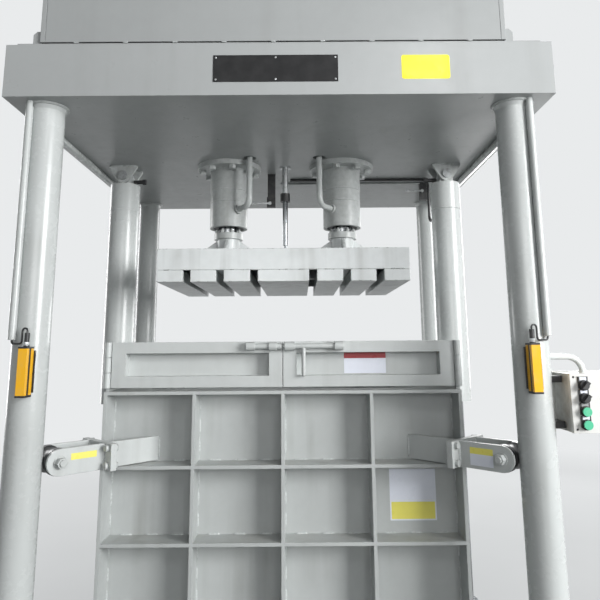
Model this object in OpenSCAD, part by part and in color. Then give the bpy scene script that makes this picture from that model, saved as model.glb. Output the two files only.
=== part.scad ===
/* [Frame] */
// Width of the top beam
beam_w = 1818; // [1790:1:2000]
// Depth of the top beam
beam_d = 1580; // [1560:1:1700]
// Height of the top beam
beam_h = 183; // [140:1:260]
// Height of the beam's underside above the floor
beam_z = 2262; // [2240:1:2500]
// Thickness of the beam's top and bottom plates
beam_plate = 25; // [16:1:40]
// Thickness of the beam's webs and inner ribs
beam_web = 16; // [10:1:25]
// Outside diameter of the four columns
col_d = 114; // [90:1:120]
// Wall thickness of the columns
col_wall = 10; // [6:1:16]
// Distance of the column axes from the middle, across the machine
col_x = 800; // [770:1:840]
// Width of the floor plate
floor_w = 1900; // [1860:1:2100]
// Thickness of the floor plate
floor_t = 20; // [12:1:30]
// Diameter of the anchor holes
anchor_d = 22; // [14:1:26]
// Height of the base box
base_h = 180; // [120:1:260]
// Thickness of the bed plate
bed_t = 28; // [16:1:40]

/* [Housing] */
// Width of the pump housing
house_w = 1556; // [1400:1:1640]
// Height of the pump housing
house_h = 890; // [860:1:1100]
// Sheet thickness of the housing
house_t = 5; // [3:1:8]
// Open seam between the housing and the deck
house_seam = 3; // [1:1:8]

/* [Press] */
// Distance of the two press cylinders from the middle
cyl_x = 257; // [240:1:280]
// Outside diameter of a press cylinder
barrel_d = 168; // [150:1:180]
// Bore of a press cylinder
bore_d = 140; // [120:1:144]
// How far a press cylinder reaches below the beam
barrel_drop = 288; // [270:1:320]
// Diameter of the bolting flange
flange_d = 290; // [284:1:300]
// Thickness of the bolting flange
flange_t = 22; // [16:1:30]
// Bolts round each flange
flange_bolts_n = 8; // [6:1:10]
// Diameter of the press rods
ram_d = 90; // [70:1:100]
// Stroke of the press
press_stroke = 1000; // [800:1:1010]
// Gap between the platen and the chamber's walls
platen_gap = 10; // [6:1:20]
// Height of the platen's welded box
platen_h = 84; // [60:1:110]
// Height of the platen's underside at rest
platen_z = 1699; // [1680:1:1720]
// Height of the pressing blocks
block_h = 46; // [36:1:60]
// Width of the strap slots between the blocks
slot_w = 31; // [20:1:40]
// Diameter of the middle guide rod
guide_d = 24; // [18:1:28]

/* [Chamber] */
// Inside width of the bale chamber
chamber_in_w = 1008; // [1004:1:1040]
// Distance from the beam's front edge back to the chamber's inner face
chamber_inset = 443; // [435:1:445]
// Thickness of the chamber's walls
wall_t = 10; // [6:1:12]
// How far the ribs stand out at the front and back
rib_out = 100; // [80:1:110]
// Outside width of the chamber over the side ribs
chamber_w = 1272; // [1240:1:1290]
// Thickness of the ribs
rib_t = 12; // [8:1:16]
// Height of one row of rib cells
row_pitch = 252; // [245:1:255]
// Rows of rib cells
rows = 4; // [4:1:4]
// Columns of rib cells
cols = 4; // [3:1:5]
// Lift of the chamber
lift_stroke = 720; // [500:1:730]

/* [Feed doors] */
// Height of the doors
door_h = 161; // [140:1:170]
// Depth of the doors
door_t = 50; // [36:1:56]
// Gap under the doors
door_gap = 12; // [6:1:20]
// Width of the upright frame members of a door
stile_w = 50; // [40:1:60]
// Width of the level frame members of a door
rail_w = 40; // [34:1:50]
// Diameter of the hinge knuckles
knuckle_d = 24; // [20:1:26]
// Diameter of the hinge pins
hinge_pin_d = 12; // [8:1:14]
// Diameter of the latch bolt
latch_d = 19; // [17:1:22]
// Travel of the latch bolt
latch_travel = 24; // [20:1:28]

/* [Column rollers] */
// Height of the roller axles above the floor at rest
roller_z = 1095; // [1090:1:1105]
// Largest diameter of a roller
roller_d = 84; // [80:1:90]
// Length of a roller
roller_len = 96; // [80:1:98]
// Clear width between the fork plates
fork_gap = 100; // [99:1:110]
// Thickness of the fork plates
fork_t = 10; // [8:1:14]
// Diameter of the roller axles
axle_d = 24; // [18:1:30]
// Height of the fork plates
fork_h = 82; // [76:1:88]
// Height of the arm plates
arm_h = 84; // [76:1:90]

/* [Lift cylinders] */
// Distance of the lift cylinders from the middle
lift_x = 733; // [728:1:740]
// Outside diameter of a lift cylinder
lift_d = 130; // [110:1:136]
// Length of a lift cylinder's tube
lift_len = 964; // [930:1:980]
// Diameter of a lift rod
lift_rod_d = 60; // [40:1:70]

/* [Controls] */
// Width of the control box
ctrl_w = 180; // [160:1:240]
// Height of the control box
ctrl_h = 174; // [170:1:200]
// Depth of the control box
ctrl_d = 118; // [90:1:130]
// Height of the control box's underside above the floor
ctrl_z = 1186; // [1150:1:1220]
// Spacing of the switches on the panel
switch_pitch = 38.5; // [37:0.5:41]
// Length of the light curtain bars
curtain_h = 151; // [130:1:170]
// Width of the light curtain bars
curtain_w = 27; // [24:1:34]

/* [Hidden] */
$fn = 64;

// Colours as the paint and bare parts show them
paint = "#c4c9c7";
inside_paint = "#b4bab8";
chrome = "#d9dcde";
zinc = "#b9bcbd";
black = "#1c1d1f";
yellow = "#f5b81c";
green = "#5fd3a4";
white = "#eceeec";
alu = "#a9a8a3";

// Clearances
run_fit = 0.1;
seat_fit = 0.3;
eps = 1;

// Columns
col_inset = 100;
col_y = beam_d / 2 - col_inset;

// Levels, from the floor up
base_top = floor_t + base_h;
bed_top = base_top + bed_t + block_h;
rim_z = bed_top + rows * row_pitch + rib_t;
door_z = rim_z + door_gap;
door_top = door_z + door_h;
platen_top = platen_z + block_h + platen_h;
beam_top = beam_z + beam_h;
deck_t = 6;
deck_top = beam_top + deck_t;
house_z = deck_top + house_seam;
house_top = house_z + house_h;
house_dx = -20;

// Base
base_w = 2 * (col_x + col_d / 2) + 26;
base_d = 2 * (col_y + col_d / 2) + 26;
floor_d = base_d + 40;
anchor_x = (floor_w + base_w) / 4 - 1;
anchor_y = floor_d / 2 - 160;
bed_margin = 33;
bed_w = chamber_w + 2 * bed_margin;
col_collar_d = col_d + 22;
collar_t = 6;
fillet_h = 14;

// Chamber
chamber_in_d = beam_d - 2 * chamber_inset;
rib_front = chamber_in_d / 2 + wall_t + rib_out;
bed_d = 2 * (rib_front + bed_margin);
col_pitch = (chamber_w - rib_t) / cols;
side_in = chamber_in_w / 2;
side_out = chamber_w / 2;
front_in = chamber_in_d / 2;
front_out = front_in + wall_t;
side_bays = 3;

// Platen, its slots and the matching grooves of the bed
platen_w = chamber_in_w - 2 * platen_gap;
platen_d = chamber_in_d - 2 * platen_gap;
slot_x = [115.5, 248, 378];
slots = [for (s = [-1, 1], x = slot_x) s * x];
block_inset = 2;

// Press cylinders
barrel_bottom = beam_z - barrel_drop;
gland_z = barrel_bottom + 5;
gland_h = 50;
piston_h = 80;
barrel_spare = 14;
piston_z = gland_z + gland_h + barrel_spare + press_stroke + 15;
barrel_cap_z = piston_z + piston_h + 40;
cap_t = 24;
barrel_hole_r = barrel_d / 2 + 6;
bolt_circle = 121;
bolt_d = 18;
bolt_lead = 13;
boss_d = 100;
clamp_d = 127;
clamp_z = barrel_bottom - 51;
clamp_t = 27;
rod_end_z = clamp_z + 21;
pipe_d = 25;
pipe_dx = 105;
pipe_dy = 145;
pipe_reach = round(sqrt(pipe_dx * pipe_dx + pipe_dy * pipe_dy));
pipe_dir = atan2(pipe_dy, pipe_dx);
pipe_hole_r = 27.5;
pipe_bend = 38;
port_z = barrel_bottom + 76;
port_len = 11;
pipe_top = deck_top + 149;

// Oil tank
tank_depth = 400;
tank_h = 350;
tank_y = beam_d / 2 - 140 - tank_depth / 2;

// Guide rod sleeve
sleeve_d = 29;
sleeve_z = beam_z - 125;
ring_z = sleeve_z - 37;
ring_d = 45;
guide_top = sleeve_z + press_stroke + 60;

// Lift cylinders
lift_top = beam_z - 84;
lift_bottom = lift_top - lift_len;
lift_pin_z = beam_z - 45;
lift_pin_d = 32;
lift_bore = lift_d - 30;
lift_gland_h = 40;
ear_gap = 76;
ear_t = 12;
foot_t = 20;
foot_z = lift_bottom - lift_stroke - 84;
foot_w = 140;
foot_plate_top = bed_top + ceil((foot_z - bed_top) / row_pitch) * row_pitch;
lift_piston_h = 50;

// Column rollers: t runs from a column's axis towards the chamber, at 45 degrees
roller_t = col_d / 2 + seat_fit + 34;
waist_gap = col_d / 2 + seat_fit;
fork_end_r = fork_h / 2;
fork_reach = 239;
fork_flange_t = 12;
arm_block_t = 8;
fork_flange_w = 210;
fork_flange_h = fork_h + 2;
arm_t = 14;
arm_drop = 8;
arm_reach = (col_y - front_out) * sqrt(2);
fork_bolt_s = 82;
fork_bolt_z = 28;

// Doors
door_face = -(rib_front - 12);
door_edge = side_out - 19.5;
hinge_gap = 2;
hinge_x = door_edge + knuckle_d / 2 + hinge_gap;
hinge_y = door_face - 2;
knuckle_h = door_h / 3;
door_sheet = 4;
split_gap = 1.5;
hopper_t = 12;
latch_z = door_top - 17;
sleeve_r = latch_d / 2 + 6;
latch_y = door_face - sleeve_r + 0.5;
nose_r = 7.8;
sleeve_a = 7;
sleeve_len = 36;
guard_x = 187;
guard_len = 31;
handle_d = 15;
handle_len = 100;
handle_x = sleeve_a + sleeve_len + handle_d / 2 + 0.75 + latch_travel;
latch_end = guard_x + guard_len - 1;

// Controls
ctrl_x = col_x + col_d / 2 + 28;
ctrl_y = -(col_y + 60);
panel_t = 15;
panel_y = ctrl_y - panel_t;
switch_x = ctrl_x + 37;
switch_z = [for (i = [0 : 3]) ctrl_z + 24.5 + i * switch_pitch];
holder_w = 30;
holder_t = 4;
stem_r = 11;
knob_r = 13.5;
button_travel = 5;
curtain_x = col_x - 24;
curtain_z = 1303;
curtain_d = 46;
lens_y = 15;
lens_w = 16;
plug_h = 42;
curtain_y = -(col_y + col_d / 2 + 3);
post_conduit_x = col_x + 34;
conduit_d = 24;
post_conduit_y = -(col_y + sqrt(pow((col_d + conduit_d) / 2 + seat_fit, 2) - 34 * 34));
post_conduit_z = curtain_z + curtain_h + 21;
side_conduit_d = 28;
side_conduit_x = beam_w / 2 - 47;
box_pipe_d = 20;
box_pipe_z = ctrl_z + 225;
box_pipe_x = ctrl_x + 77;
box_pipe_bend = 50;

// Limit switches under the beam
right_switch = [lift_x - 42, 265];
centre_switch = [-68, 112];
lever_r = 4;
lever_len = 75;
right_pivot_z = beam_z - 46;
centre_pivot_z = beam_z - 143;
wire_y = 187;
wire_d = 12;

module span(lo, hi) {
    translate(lo) cube(hi - lo);
}

module pair() {
    children();
    mirror([1, 0, 0]) children();
}

module quad() {
    pair() children();
    mirror([0, 1, 0]) pair() children();
}

module drum(d, z0, z1) {
    translate([0, 0, z0]) cylinder(d = d, h = z1 - z0);
}

module drum_x(r, x0, x1) {
    translate([x0, 0, 0]) rotate([0, 90, 0]) cylinder(r = r, h = x1 - x0);
}

module drum_y(r, y0, y1) {
    translate([0, y0, 0]) rotate([-90, 0, 0]) cylinder(r = r, h = y1 - y0);
}

// Hexagon bolt with its head below z = 0 and its shank going up
module hex_bolt(d, shank, head) {
    translate([0, 0, -2.5]) cylinder(r = 0.95 * d, h = 2.5);
    translate([0, 0, -2.5 - head]) cylinder(r = 0.866 * d, h = head, $fn = 6);
    cylinder(d = d, h = shank);
}

// Half ring of round bar, standing on its two ends
module half_ring(d, bend) {
    rotate([90, 0, 0]) rotate_extrude(angle = 180, $fn = 32) translate([bend, 0]) circle(d = d, $fn = 32);
}

module quarter_bend(d, bend) {
    rotate([90, 0, 0]) rotate_extrude(angle = 90) translate([bend, 0]) circle(d = d);
}

// Floor plate, with one anchor hole near each corner
module floor_plate() {
    color(paint) difference() {
        span([-floor_w / 2, -floor_d / 2, 0], [floor_w / 2, floor_d / 2, floor_t]);
        for (x = [-1, 1], y = [-1, 1])
            translate([x * anchor_x, y * anchor_y, 0]) drum(anchor_d, -eps, floor_t + eps);
    }
}

// Welded base box, open below, with the bed plate on top
module base_frame() {
    wall = beam_web;
    color(paint) {
        difference() {
            span([-base_w / 2, -base_d / 2, floor_t], [base_w / 2, base_d / 2, base_top]);
            for (i = [0 : 3], j = [0 : 2]) {
                bay_x = (base_w - wall) / 4;
                bay_y = (base_d - wall) / 3;
                x0 = -base_w / 2 + wall + i * bay_x;
                y0 = -base_d / 2 + wall + j * bay_y;
                span([x0, y0, floor_t - eps], [x0 + bay_x - wall, y0 + bay_y - wall, base_top - beam_plate]);
            }
        }
        span([-bed_w / 2, -bed_d / 2, base_top], [bed_w / 2, bed_d / 2, base_top + bed_t]);
    }
}

// A row of pressing blocks with strap slots between them
module slotted_blocks(width, depth, z0, gap_w) {
    edges = concat([-width / 2 - gap_w / 2], [for (i = [2 : -1 : 0]) -slot_x[i]],
                   [for (i = [0 : 2]) slot_x[i]], [width / 2 + gap_w / 2]);
    for (i = [0 : 6])
        span([edges[i] + gap_w / 2, -depth / 2, z0], [edges[i + 1] - gap_w / 2, depth / 2, z0 + block_h]);
}

module bed_blocks() {
    color(paint) slotted_blocks(bed_w, bed_d, base_top + bed_t, slot_w);
}

// Tube column with a weld collar at each end
module column(x, y) {
    color(paint) translate([x, y, 0]) difference() {
        union() {
            drum(col_d, base_top, beam_z);
            drum(col_collar_d, beam_z - collar_t, beam_z);
            drum(col_collar_d, base_top, base_top + collar_t);
            translate([0, 0, beam_z - collar_t - fillet_h])
                cylinder(d1 = col_d, d2 = col_d + 12, h = fillet_h);
            translate([0, 0, base_top + collar_t])
                cylinder(d1 = col_d + 12, d2 = col_d, h = fillet_h);
        }
        drum(col_d - 2 * col_wall, base_top - eps, beam_z + eps);
    }
}

// Welded beam: plates, webs, inner ribs and the deck plate
module top_beam() {
    z0 = beam_z + beam_plate;
    z1 = beam_top - beam_plate;
    rib_x = 450;
    rib_y = 190;
    color(paint) difference() {
        union() {
            difference() {
                span([-beam_w / 2, -beam_d / 2, beam_z], [beam_w / 2, beam_d / 2, beam_top]);
                span([-beam_w / 2 + beam_web, -beam_d / 2 + beam_web, z0],
                     [beam_w / 2 - beam_web, beam_d / 2 - beam_web, z1]);
            }
            for (y = [-1, 1])
                span([-beam_w / 2 + eps, y * rib_y - beam_web / 2, z0 - eps],
                     [beam_w / 2 - eps, y * rib_y + beam_web / 2, z1 + eps]);
            for (x = [-1, 1])
                span([x * rib_x - beam_web / 2, -beam_d / 2 + eps, z0 - eps],
                     [x * rib_x + beam_web / 2, beam_d / 2 - eps, z1 + eps]);
            span([-beam_w / 2 + 35, -beam_d / 2 + 4, beam_top],
                 [beam_w / 2 - 35, beam_d / 2 - 4, deck_top]);
        }
        for (x = [-1, 1]) {
            translate([x * cyl_x, 0, 0]) drum(2 * barrel_hole_r, beam_z - eps, deck_top + eps);
            translate([x * (cyl_x - pipe_dx), -pipe_dy, 0])
                drum(2 * pipe_hole_r, beam_z - eps, deck_top + eps);
            for (y = [-1, 1]) translate([x * 650, 0, (z0 + z1) / 2])
                drum_y(40, y * rib_y - beam_web, y * rib_y + beam_web);
            for (y = [-1, 0, 1]) translate([0, y * (beam_d / 2 - 310), (z0 + z1) / 2])
                drum_x(40, x * rib_x - beam_web, x * rib_x + beam_web);
        }
        for (y = [-1, 1]) translate([0, 0, (z0 + z1) / 2])
            drum_y(40, y * rib_y - beam_web, y * rib_y + beam_web);
        drum(sleeve_d + 2 * seat_fit, beam_z - eps, deck_top + eps);
        flange_holes(beam_z - eps, beam_z + beam_plate - 5);
    }
}

module flange_places() {
    pair() translate([-cyl_x, 0, 0])
        for (i = [0 : flange_bolts_n - 1])
            rotate([0, 0, -90 + bolt_lead + i * 360 / flange_bolts_n])
                translate([bolt_circle, 0, 0]) children();
}

module flange_holes(z0, z1) {
    flange_places() drum(bolt_d + 2 * run_fit, z0, z1);
}

// Front sheet of the pump housing, with a folded edge at each side
module housing_front() {
    edge = 16;
    color(paint) translate([house_dx, 0, 0]) difference() {
        span([-house_w / 2, -beam_d / 2, house_z], [house_w / 2, -beam_d / 2 + house_t, house_top]);
        for (x = [-1, 1])
            span([x * (house_w / 2 - edge) - 1, -beam_d / 2 - eps, house_z - eps],
                 [x * (house_w / 2 - edge) + 1, -beam_d / 2 + 1.2, house_top + eps]);
    }
}

// Side and rear sheets, with the hold-down lugs at the corners
module housing_panels() {
    y0 = -beam_d / 2 + house_t;
    y1 = beam_d / 2 - house_t - seat_fit;
    lug_w = 27;
    lug_h = 46;
    lug_l = 60;
    color(paint) translate([house_dx, 0, 0]) {
        pair() {
            span([house_w / 2 - house_t, y0, house_z], [house_w / 2, y1, house_top]);
            for (y = [y0 + 4, y1 - lug_l - 4]) translate([house_w / 2, y, deck_top]) {
                span([-0.1, 0, 0], [lug_w, lug_l, 8]);
                span([-0.1, 0, 0], [8, lug_l, lug_h]);
                translate([0, 6, 0]) rotate([90, 0, 0]) linear_extrude(6)
                    polygon([[-0.1, 0], [lug_w, 0], [lug_w, lug_h - 12],
                             [lug_w - 12, lug_h], [-0.1, lug_h]]);
            }
        }
        span([-house_w / 2, beam_d / 2 - house_t, house_z], [house_w / 2, beam_d / 2, house_top]);
        for (x = [-1, 1]) translate([x * (house_w / 2 - 90), beam_d / 2 - house_t, deck_top])
            span([-30, -8, 0], [30, 0.1, house_seam + 40]);
    }
}

module housing_roof() {
    color(paint) translate([house_dx, 0, 0]) difference() {
        span([-house_w / 2, -beam_d / 2, house_top], [house_w / 2, beam_d / 2, house_top + house_t + 25]);
        span([-house_w / 2 + 30, -beam_d / 2 + 30, house_top - eps],
             [house_w / 2 - 30, beam_d / 2 - 30, house_top + 25]);
    }
}

// Press cylinder tube with its bolting flange, weld step, blind cap and oil port
module barrel() {
    step_z = beam_z - 117;
    color(paint) difference() {
        union() {
            drum(barrel_d, barrel_bottom, barrel_cap_z + cap_t);
            drum(barrel_d + 4, step_z, beam_z);
            drum(barrel_d + 2, step_z - 56, step_z - 50);
            drum(flange_d, beam_z - flange_t, beam_z);
            translate([0, 0, port_z]) rotate([0, 0, -pipe_dir])
                drum_x(20, barrel_d / 2 - 6, barrel_d / 2 + port_len);
        }
        drum(bore_d, barrel_bottom - eps, barrel_cap_z);
        translate([0, 0, port_z]) rotate([0, 0, -pipe_dir])
            drum_x(pipe_d / 2 - 4, bore_d / 2 - 8, barrel_d / 2 + port_len + eps);
        for (i = [0 : flange_bolts_n - 1])
            rotate([0, 0, -90 + bolt_lead + i * 360 / flange_bolts_n]) translate([bolt_circle, 0, 0])
                drum(bolt_d + 2 * run_fit, beam_z - flange_t - eps, beam_z + eps);
    }
}

module cylinder_glands() {
    color(black) pair() translate([-cyl_x, 0, 0]) difference() {
        drum(bore_d - 2 * run_fit, gland_z, gland_z + gland_h);
        drum(ram_d + 2 * run_fit, gland_z - eps, gland_z + gland_h + eps);
    }
}

module flange_bolts() {
    color(zinc) flange_places() translate([0, 0, beam_z - flange_t])
        hex_bolt(bolt_d, flange_t + beam_plate - 8, 13);
}

// Oil pipes: down through the beam and round into each cylinder
module feed_pipes() {
    color(paint) pair() translate([-cyl_x, 0, 0]) rotate([0, 0, -pipe_dir]) {
        translate([pipe_reach, 0, 0]) drum(pipe_d, port_z + pipe_bend, pipe_top);
        translate([pipe_reach - pipe_bend, 0, port_z + pipe_bend])
            mirror([0, 0, 1]) quarter_bend(pipe_d, pipe_bend);
        translate([0, 0, port_z]) drum_x(pipe_d / 2, barrel_d / 2 + port_len, pipe_reach - pipe_bend);
    }
}

// Fixed sleeve of the middle guide rod
module rod_sleeve() {
    color(paint) difference() {
        union() {
            drum(sleeve_d, sleeve_z, deck_top + 10);
            drum(50, beam_z - 6, beam_z);
        }
        drum(guide_d + 2 * run_fit, sleeve_z - eps, deck_top + 10 + eps);
    }
}

// Wiper ring under the sleeve, and the oil elbows of the lift cylinders
module black_fittings() {
    color(black) {
        difference() {
            drum(ring_d, ring_z, sleeve_z);
            drum(guide_d + 2 * run_fit, ring_z - eps, sleeve_z + eps);
        }
        pair() translate([lift_x - 46, 0, lift_top]) {
            drum(18, 0, 14);
            translate([0, 0, 20]) drum_x(9, -34, 9);
            translate([-48, 0, 20]) rotate([0, 90, 0]) cylinder(r = 13, h = 16, $fn = 6);
        }
    }
}

// Outline of a hanging ear, with its pin hole at the round lower end
module ear_outline() {
    drop = beam_z - lift_pin_z;
    difference() {
        union() {
            polygon([[-62, 0], [62, 0], [62, -10], [31, -drop - 14], [-31, -drop - 14], [-62, -10]]);
            translate([0, -drop]) circle(r = 34);
        }
        translate([0, -drop]) circle(d = lift_pin_d + 2 * run_fit);
    }
}

module lift_brackets() {
    color(paint) pair() translate([lift_x, 0, beam_z]) for (y = [-1, 1])
        translate([0, y * (ear_gap + ear_t) / 2 + ear_t / 2, 0]) rotate([90, 0, 0])
            linear_extrude(ear_t) ear_outline();
}

module lift_pins() {
    half = ear_gap / 2 + ear_t;
    color(zinc) pair() translate([lift_x, 0, lift_pin_z]) {
        drum_y(lift_pin_d / 2, -half, half + 8);
        drum_y(21, -half - 9, -half);
        drum_y(14, half + 8, half + 11);
    }
}

// Lift cylinder tubes with their hanging eyes
module lift_barrels() {
    color(paint) pair() translate([lift_x, 0, 0]) difference() {
        union() {
            drum(lift_d, lift_bottom, lift_top);
            drum(lift_d + 2, lift_top - 124, lift_top - 118);
            span([-30, -ear_gap / 2 + 2, lift_top - eps], [30, ear_gap / 2 - 2, lift_pin_z]);
            translate([0, 0, lift_pin_z]) drum_y(30, -ear_gap / 2 + 2, ear_gap / 2 - 2);
        }
        translate([0, 0, lift_pin_z]) drum_y(lift_pin_d / 2 + run_fit, -ear_gap, ear_gap);
        drum(lift_bore, lift_bottom + lift_gland_h, lift_top - 20);
        drum(lift_rod_d + 2 * run_fit, lift_bottom - eps, lift_bottom + lift_gland_h + eps);
    }
}

// Oil tank inside the housing
module oil_tank() {
    half = tank_depth / 2;
    tank = [[-450, tank_y - half, deck_top], [450, tank_y + half, deck_top + tank_h]];
    wall = 4;
    color(inside_paint) difference() {
        span(tank[0], tank[1]);
        span(tank[0] + [wall, wall, wall], tank[1] - [wall, wall, wall]);
        translate([300, tank_y, 0]) drum(60, tank[1][2] - wall - eps, tank[1][2] + eps);
    }
}

// Motor with its pump on the tank, and the valve block over the feed pipes
module pump_set() {
    motor_z = deck_top + tank_h;
    color(inside_paint) {
        translate([-200, tank_y, 0]) {
            drum(200, motor_z, motor_z + 20);
            drum(160, motor_z + 20, motor_z + 110);
            drum(220, motor_z + 110, motor_z + 360);
            drum(226, motor_z + 360, motor_z + 410);
            span([90, -50, motor_z + 200], [150, 50, motor_z + 310]);
        }
        span([-cyl_x + pipe_dx - 38, -pipe_dy - 60, pipe_top],
             [cyl_x - pipe_dx + 38, -pipe_dy + 55, pipe_top + 120]);
    }
}

// Conduits down the front columns and along both edges of the underside
module conduits() {
    color(paint) pair() {
        translate([post_conduit_x, post_conduit_y, 0]) difference() {
            drum(conduit_d, post_conduit_z, beam_z);
            drum(conduit_d - 4, post_conduit_z - eps, post_conduit_z + 40);
            translate([col_x - post_conduit_x, -col_y - post_conduit_y, 0])
                drum(col_collar_d + 2 * seat_fit, beam_z - collar_t - fillet_h, beam_z + eps);
        }
        translate([side_conduit_x, 0, beam_z - side_conduit_d / 2])
            drum_y(side_conduit_d / 2, -beam_d / 2 + 190, beam_d / 2 - 190);
    }
    color(paint) translate([0, right_switch[1] - 8, beam_z - 4]) drum_x(4, -30, right_switch[0] - 17);
}

// Light curtain bars: a channel with the lens slot facing the other bar
module curtain_bars() {
    cap = 6;
    color(yellow) pair() translate([-curtain_x, curtain_y, 0]) difference() {
        span([-curtain_w / 2, -curtain_d, curtain_z + cap], [curtain_w / 2, 0, curtain_z + curtain_h - cap]);
        span([curtain_w / 2 - 5, -curtain_d + lens_y, curtain_z],
             [curtain_w / 2 + eps, -curtain_d + lens_y + lens_w, curtain_z + curtain_h]);
    }
}

module curtain_fittings() {
    cap = 6;
    top = curtain_z + curtain_h;
    color(black) pair() translate([-curtain_x, curtain_y, 0]) {
        for (z = [curtain_z, top - cap])
            span([-curtain_w / 2 - 0.5, -curtain_d - 0.5, z], [curtain_w / 2 + 0.5, 0, z + cap]);
        span([curtain_w / 2 - 5, -curtain_d + lens_y + 0.2, curtain_z + cap],
             [curtain_w / 2 - 2, -curtain_d + lens_y + lens_w - 0.2, top - cap]);
        translate([0, -curtain_d / 2, 0]) {
            drum(18, top, top + 3);
            drum(11, top + 3, top + 14);
            drum(15, top + 14, top + plug_h);
        }
    }
}

// Black leads: out of the conduit's end, level, then up and over into the bar's plug
module curtain_leads() {
    top = curtain_z + curtain_h + plug_h;
    dx = post_conduit_x - curtain_x;
    dy = (curtain_y - curtain_d / 2) - post_conduit_y;
    reach = round(sqrt(dx * dx + dy * dy));
    loop_r = round(reach / 6);
    rise_x = reach - 2 * loop_r;
    bend = 9;
    low = post_conduit_z - 3;
    d = 6;
    color(black) pair() translate([-post_conduit_x, post_conduit_y, 0]) rotate([0, 0, atan2(dy, dx)]) {
        drum(d, low, post_conduit_z + 30);
        translate([bend, 0, low]) rotate([0, 180, 0]) quarter_bend(d, bend, $fn = 32);
        translate([0, 0, low - bend]) drum_x(d / 2, bend, rise_x - bend);
        translate([rise_x - bend, 0, low]) mirror([0, 0, 1]) quarter_bend(d, bend, $fn = 32);
        translate([rise_x, 0, 0]) drum(d, low, top + 4);
        translate([rise_x + loop_r, 0, top + 4]) half_ring(d, loop_r);
        translate([reach, 0, 0]) drum(d, top, top + 4);
    }
}

// Control box: cast body with a rear rim
module control_box() {
    wall = 4;
    lo = [ctrl_x, ctrl_y, ctrl_z];
    hi = [ctrl_x + ctrl_w, ctrl_y + ctrl_d, ctrl_z + ctrl_h];
    color(alu) difference() {
        union() {
            span(lo, hi);
            span([lo[0] - 3, hi[1] - 16, lo[2] - 3], hi + [3, 0, 3]);
        }
        span(lo + [wall, -eps, wall], hi - [wall, wall, wall]);
        translate([box_pipe_x, -col_y, 0]) drum(box_pipe_d + 2 * run_fit, hi[2] - wall - eps, hi[2] + eps);
    }
}

module control_panel() {
    hi_z = ctrl_z + ctrl_h;
    color(white) difference() {
        span([ctrl_x - 1, panel_y, ctrl_z - 1], [ctrl_x + ctrl_w + 1, ctrl_y, hi_z + 1]);
        for (z = switch_z) translate([switch_x, 0, z]) drum_y(stem_r + run_fit, panel_y - eps, ctrl_y + eps);
        for (x = [ctrl_x + 10, ctrl_x + ctrl_w - 10], z = [ctrl_z + 10, hi_z - 10])
            translate([x, 0, z]) drum_y(3.5, panel_y - eps, panel_y + 4);
    }
}

// Saddles of the control box and back plates of the light curtains
module device_brackets() {
    color(black) difference() {
        for (z = [ctrl_z + 8, ctrl_z + ctrl_h - 28])
            span([col_x + 40, -col_y - 25, z], [ctrl_x - 3, -col_y + 50, z + 20]);
        translate([col_x, -col_y, 0]) drum(col_d + 2 * run_fit, ctrl_z - 20, ctrl_z + ctrl_h + 20);
    }
    color(black) difference() {
        for (z = [ctrl_z + 8, ctrl_z + ctrl_h - 28])
            span([ctrl_x - 10, -col_y + 30, z], [ctrl_x - seat_fit, -col_y + 42, z + 20]);
        translate([col_x, -col_y, 0]) drum(col_d + 2 * run_fit, ctrl_z - 20, ctrl_z + ctrl_h + 20);
    }
    color(zinc) pair() translate([-curtain_x - 7, curtain_y, 0])
        span([-26, 0, curtain_z + 12], [26, 3, curtain_z + curtain_h - 12]);
}

// Switch bodies: legend plate, threaded neck and contact block
module switch_holders() {
    color(black) for (i = [0 : 3]) translate([switch_x, panel_y, switch_z[i]]) difference() {
        union() {
            span([-holder_w / 2, -holder_t, -10], [holder_w / 2, 0, 26]);
            drum_y(stem_r + 5, -holder_t - 3, -holder_t + 1);
            drum_y(stem_r, -1, panel_t + 20);
            span([-14, panel_t + 4, -14], [14, panel_t + 42, 14]);
        }
        drum_y(5 + run_fit, -holder_t - 3 - eps, panel_t + 16);
    }
}

// Bent conduit from the column into the top of the control box
module box_conduit() {
    start = col_x + col_d / 2 - 1;
    bend_x = box_pipe_x - box_pipe_bend;
    color(white) translate([0, -col_y, 0]) difference() {
        union() {
            translate([0, 0, box_pipe_z]) drum_x(box_pipe_d / 2, start, bend_x);
            translate([bend_x, 0, box_pipe_z - box_pipe_bend]) quarter_bend(box_pipe_d, box_pipe_bend);
            translate([box_pipe_x, 0, 0]) {
                drum(box_pipe_d, ctrl_z + ctrl_h - 4, box_pipe_z - box_pipe_bend);
                drum(box_pipe_d + 8, ctrl_z + ctrl_h, ctrl_z + ctrl_h + 5);
            }
        }
        translate([col_x, 0, 0]) drum(col_d + 2 * run_fit, box_pipe_z - 30, box_pipe_z + 30);
    }
}

// Bodies of the two limit switches, with the strap that holds the middle one
module limit_switches() {
    color(zinc) {
        difference() {
            span([right_switch[0] - 17, right_switch[1] - 15, beam_z - 90],
                 [right_switch[0] + 17, right_switch[1] + 15, beam_z]);
            translate([right_switch[0] - 8, 0, right_pivot_z])
                drum_y(3 + run_fit, right_switch[1] - 20, right_switch[1] + 8);
        }
    }
    color(black) {
        span([centre_switch[0] - 18, centre_switch[1] - 15, beam_z - 130],
             [centre_switch[0] + 19, centre_switch[1] - 11, beam_z]);
        difference() {
            span([centre_switch[0] - 22, centre_switch[1] - 11, beam_z - 160],
                 [centre_switch[0] + 19, centre_switch[1] + 14, beam_z - 112]);
            translate([centre_switch[0] - 8, 0, centre_pivot_z])
                drum_y(3 + run_fit, centre_switch[1] - 12, centre_switch[1] + 6);
        }
    }
}

// Switch arm with its roller; the pivot is at the origin and the arm points to -X
module switch_lever() {
    drum_y(3, -6, 16);
    drum_y(8, -7, -1);
    span([-lever_len, -5, -lever_r], [0, -2, lever_r]);
    translate([-lever_len, 0, 0]) drum_y(8, -9, -1);
}

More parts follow.
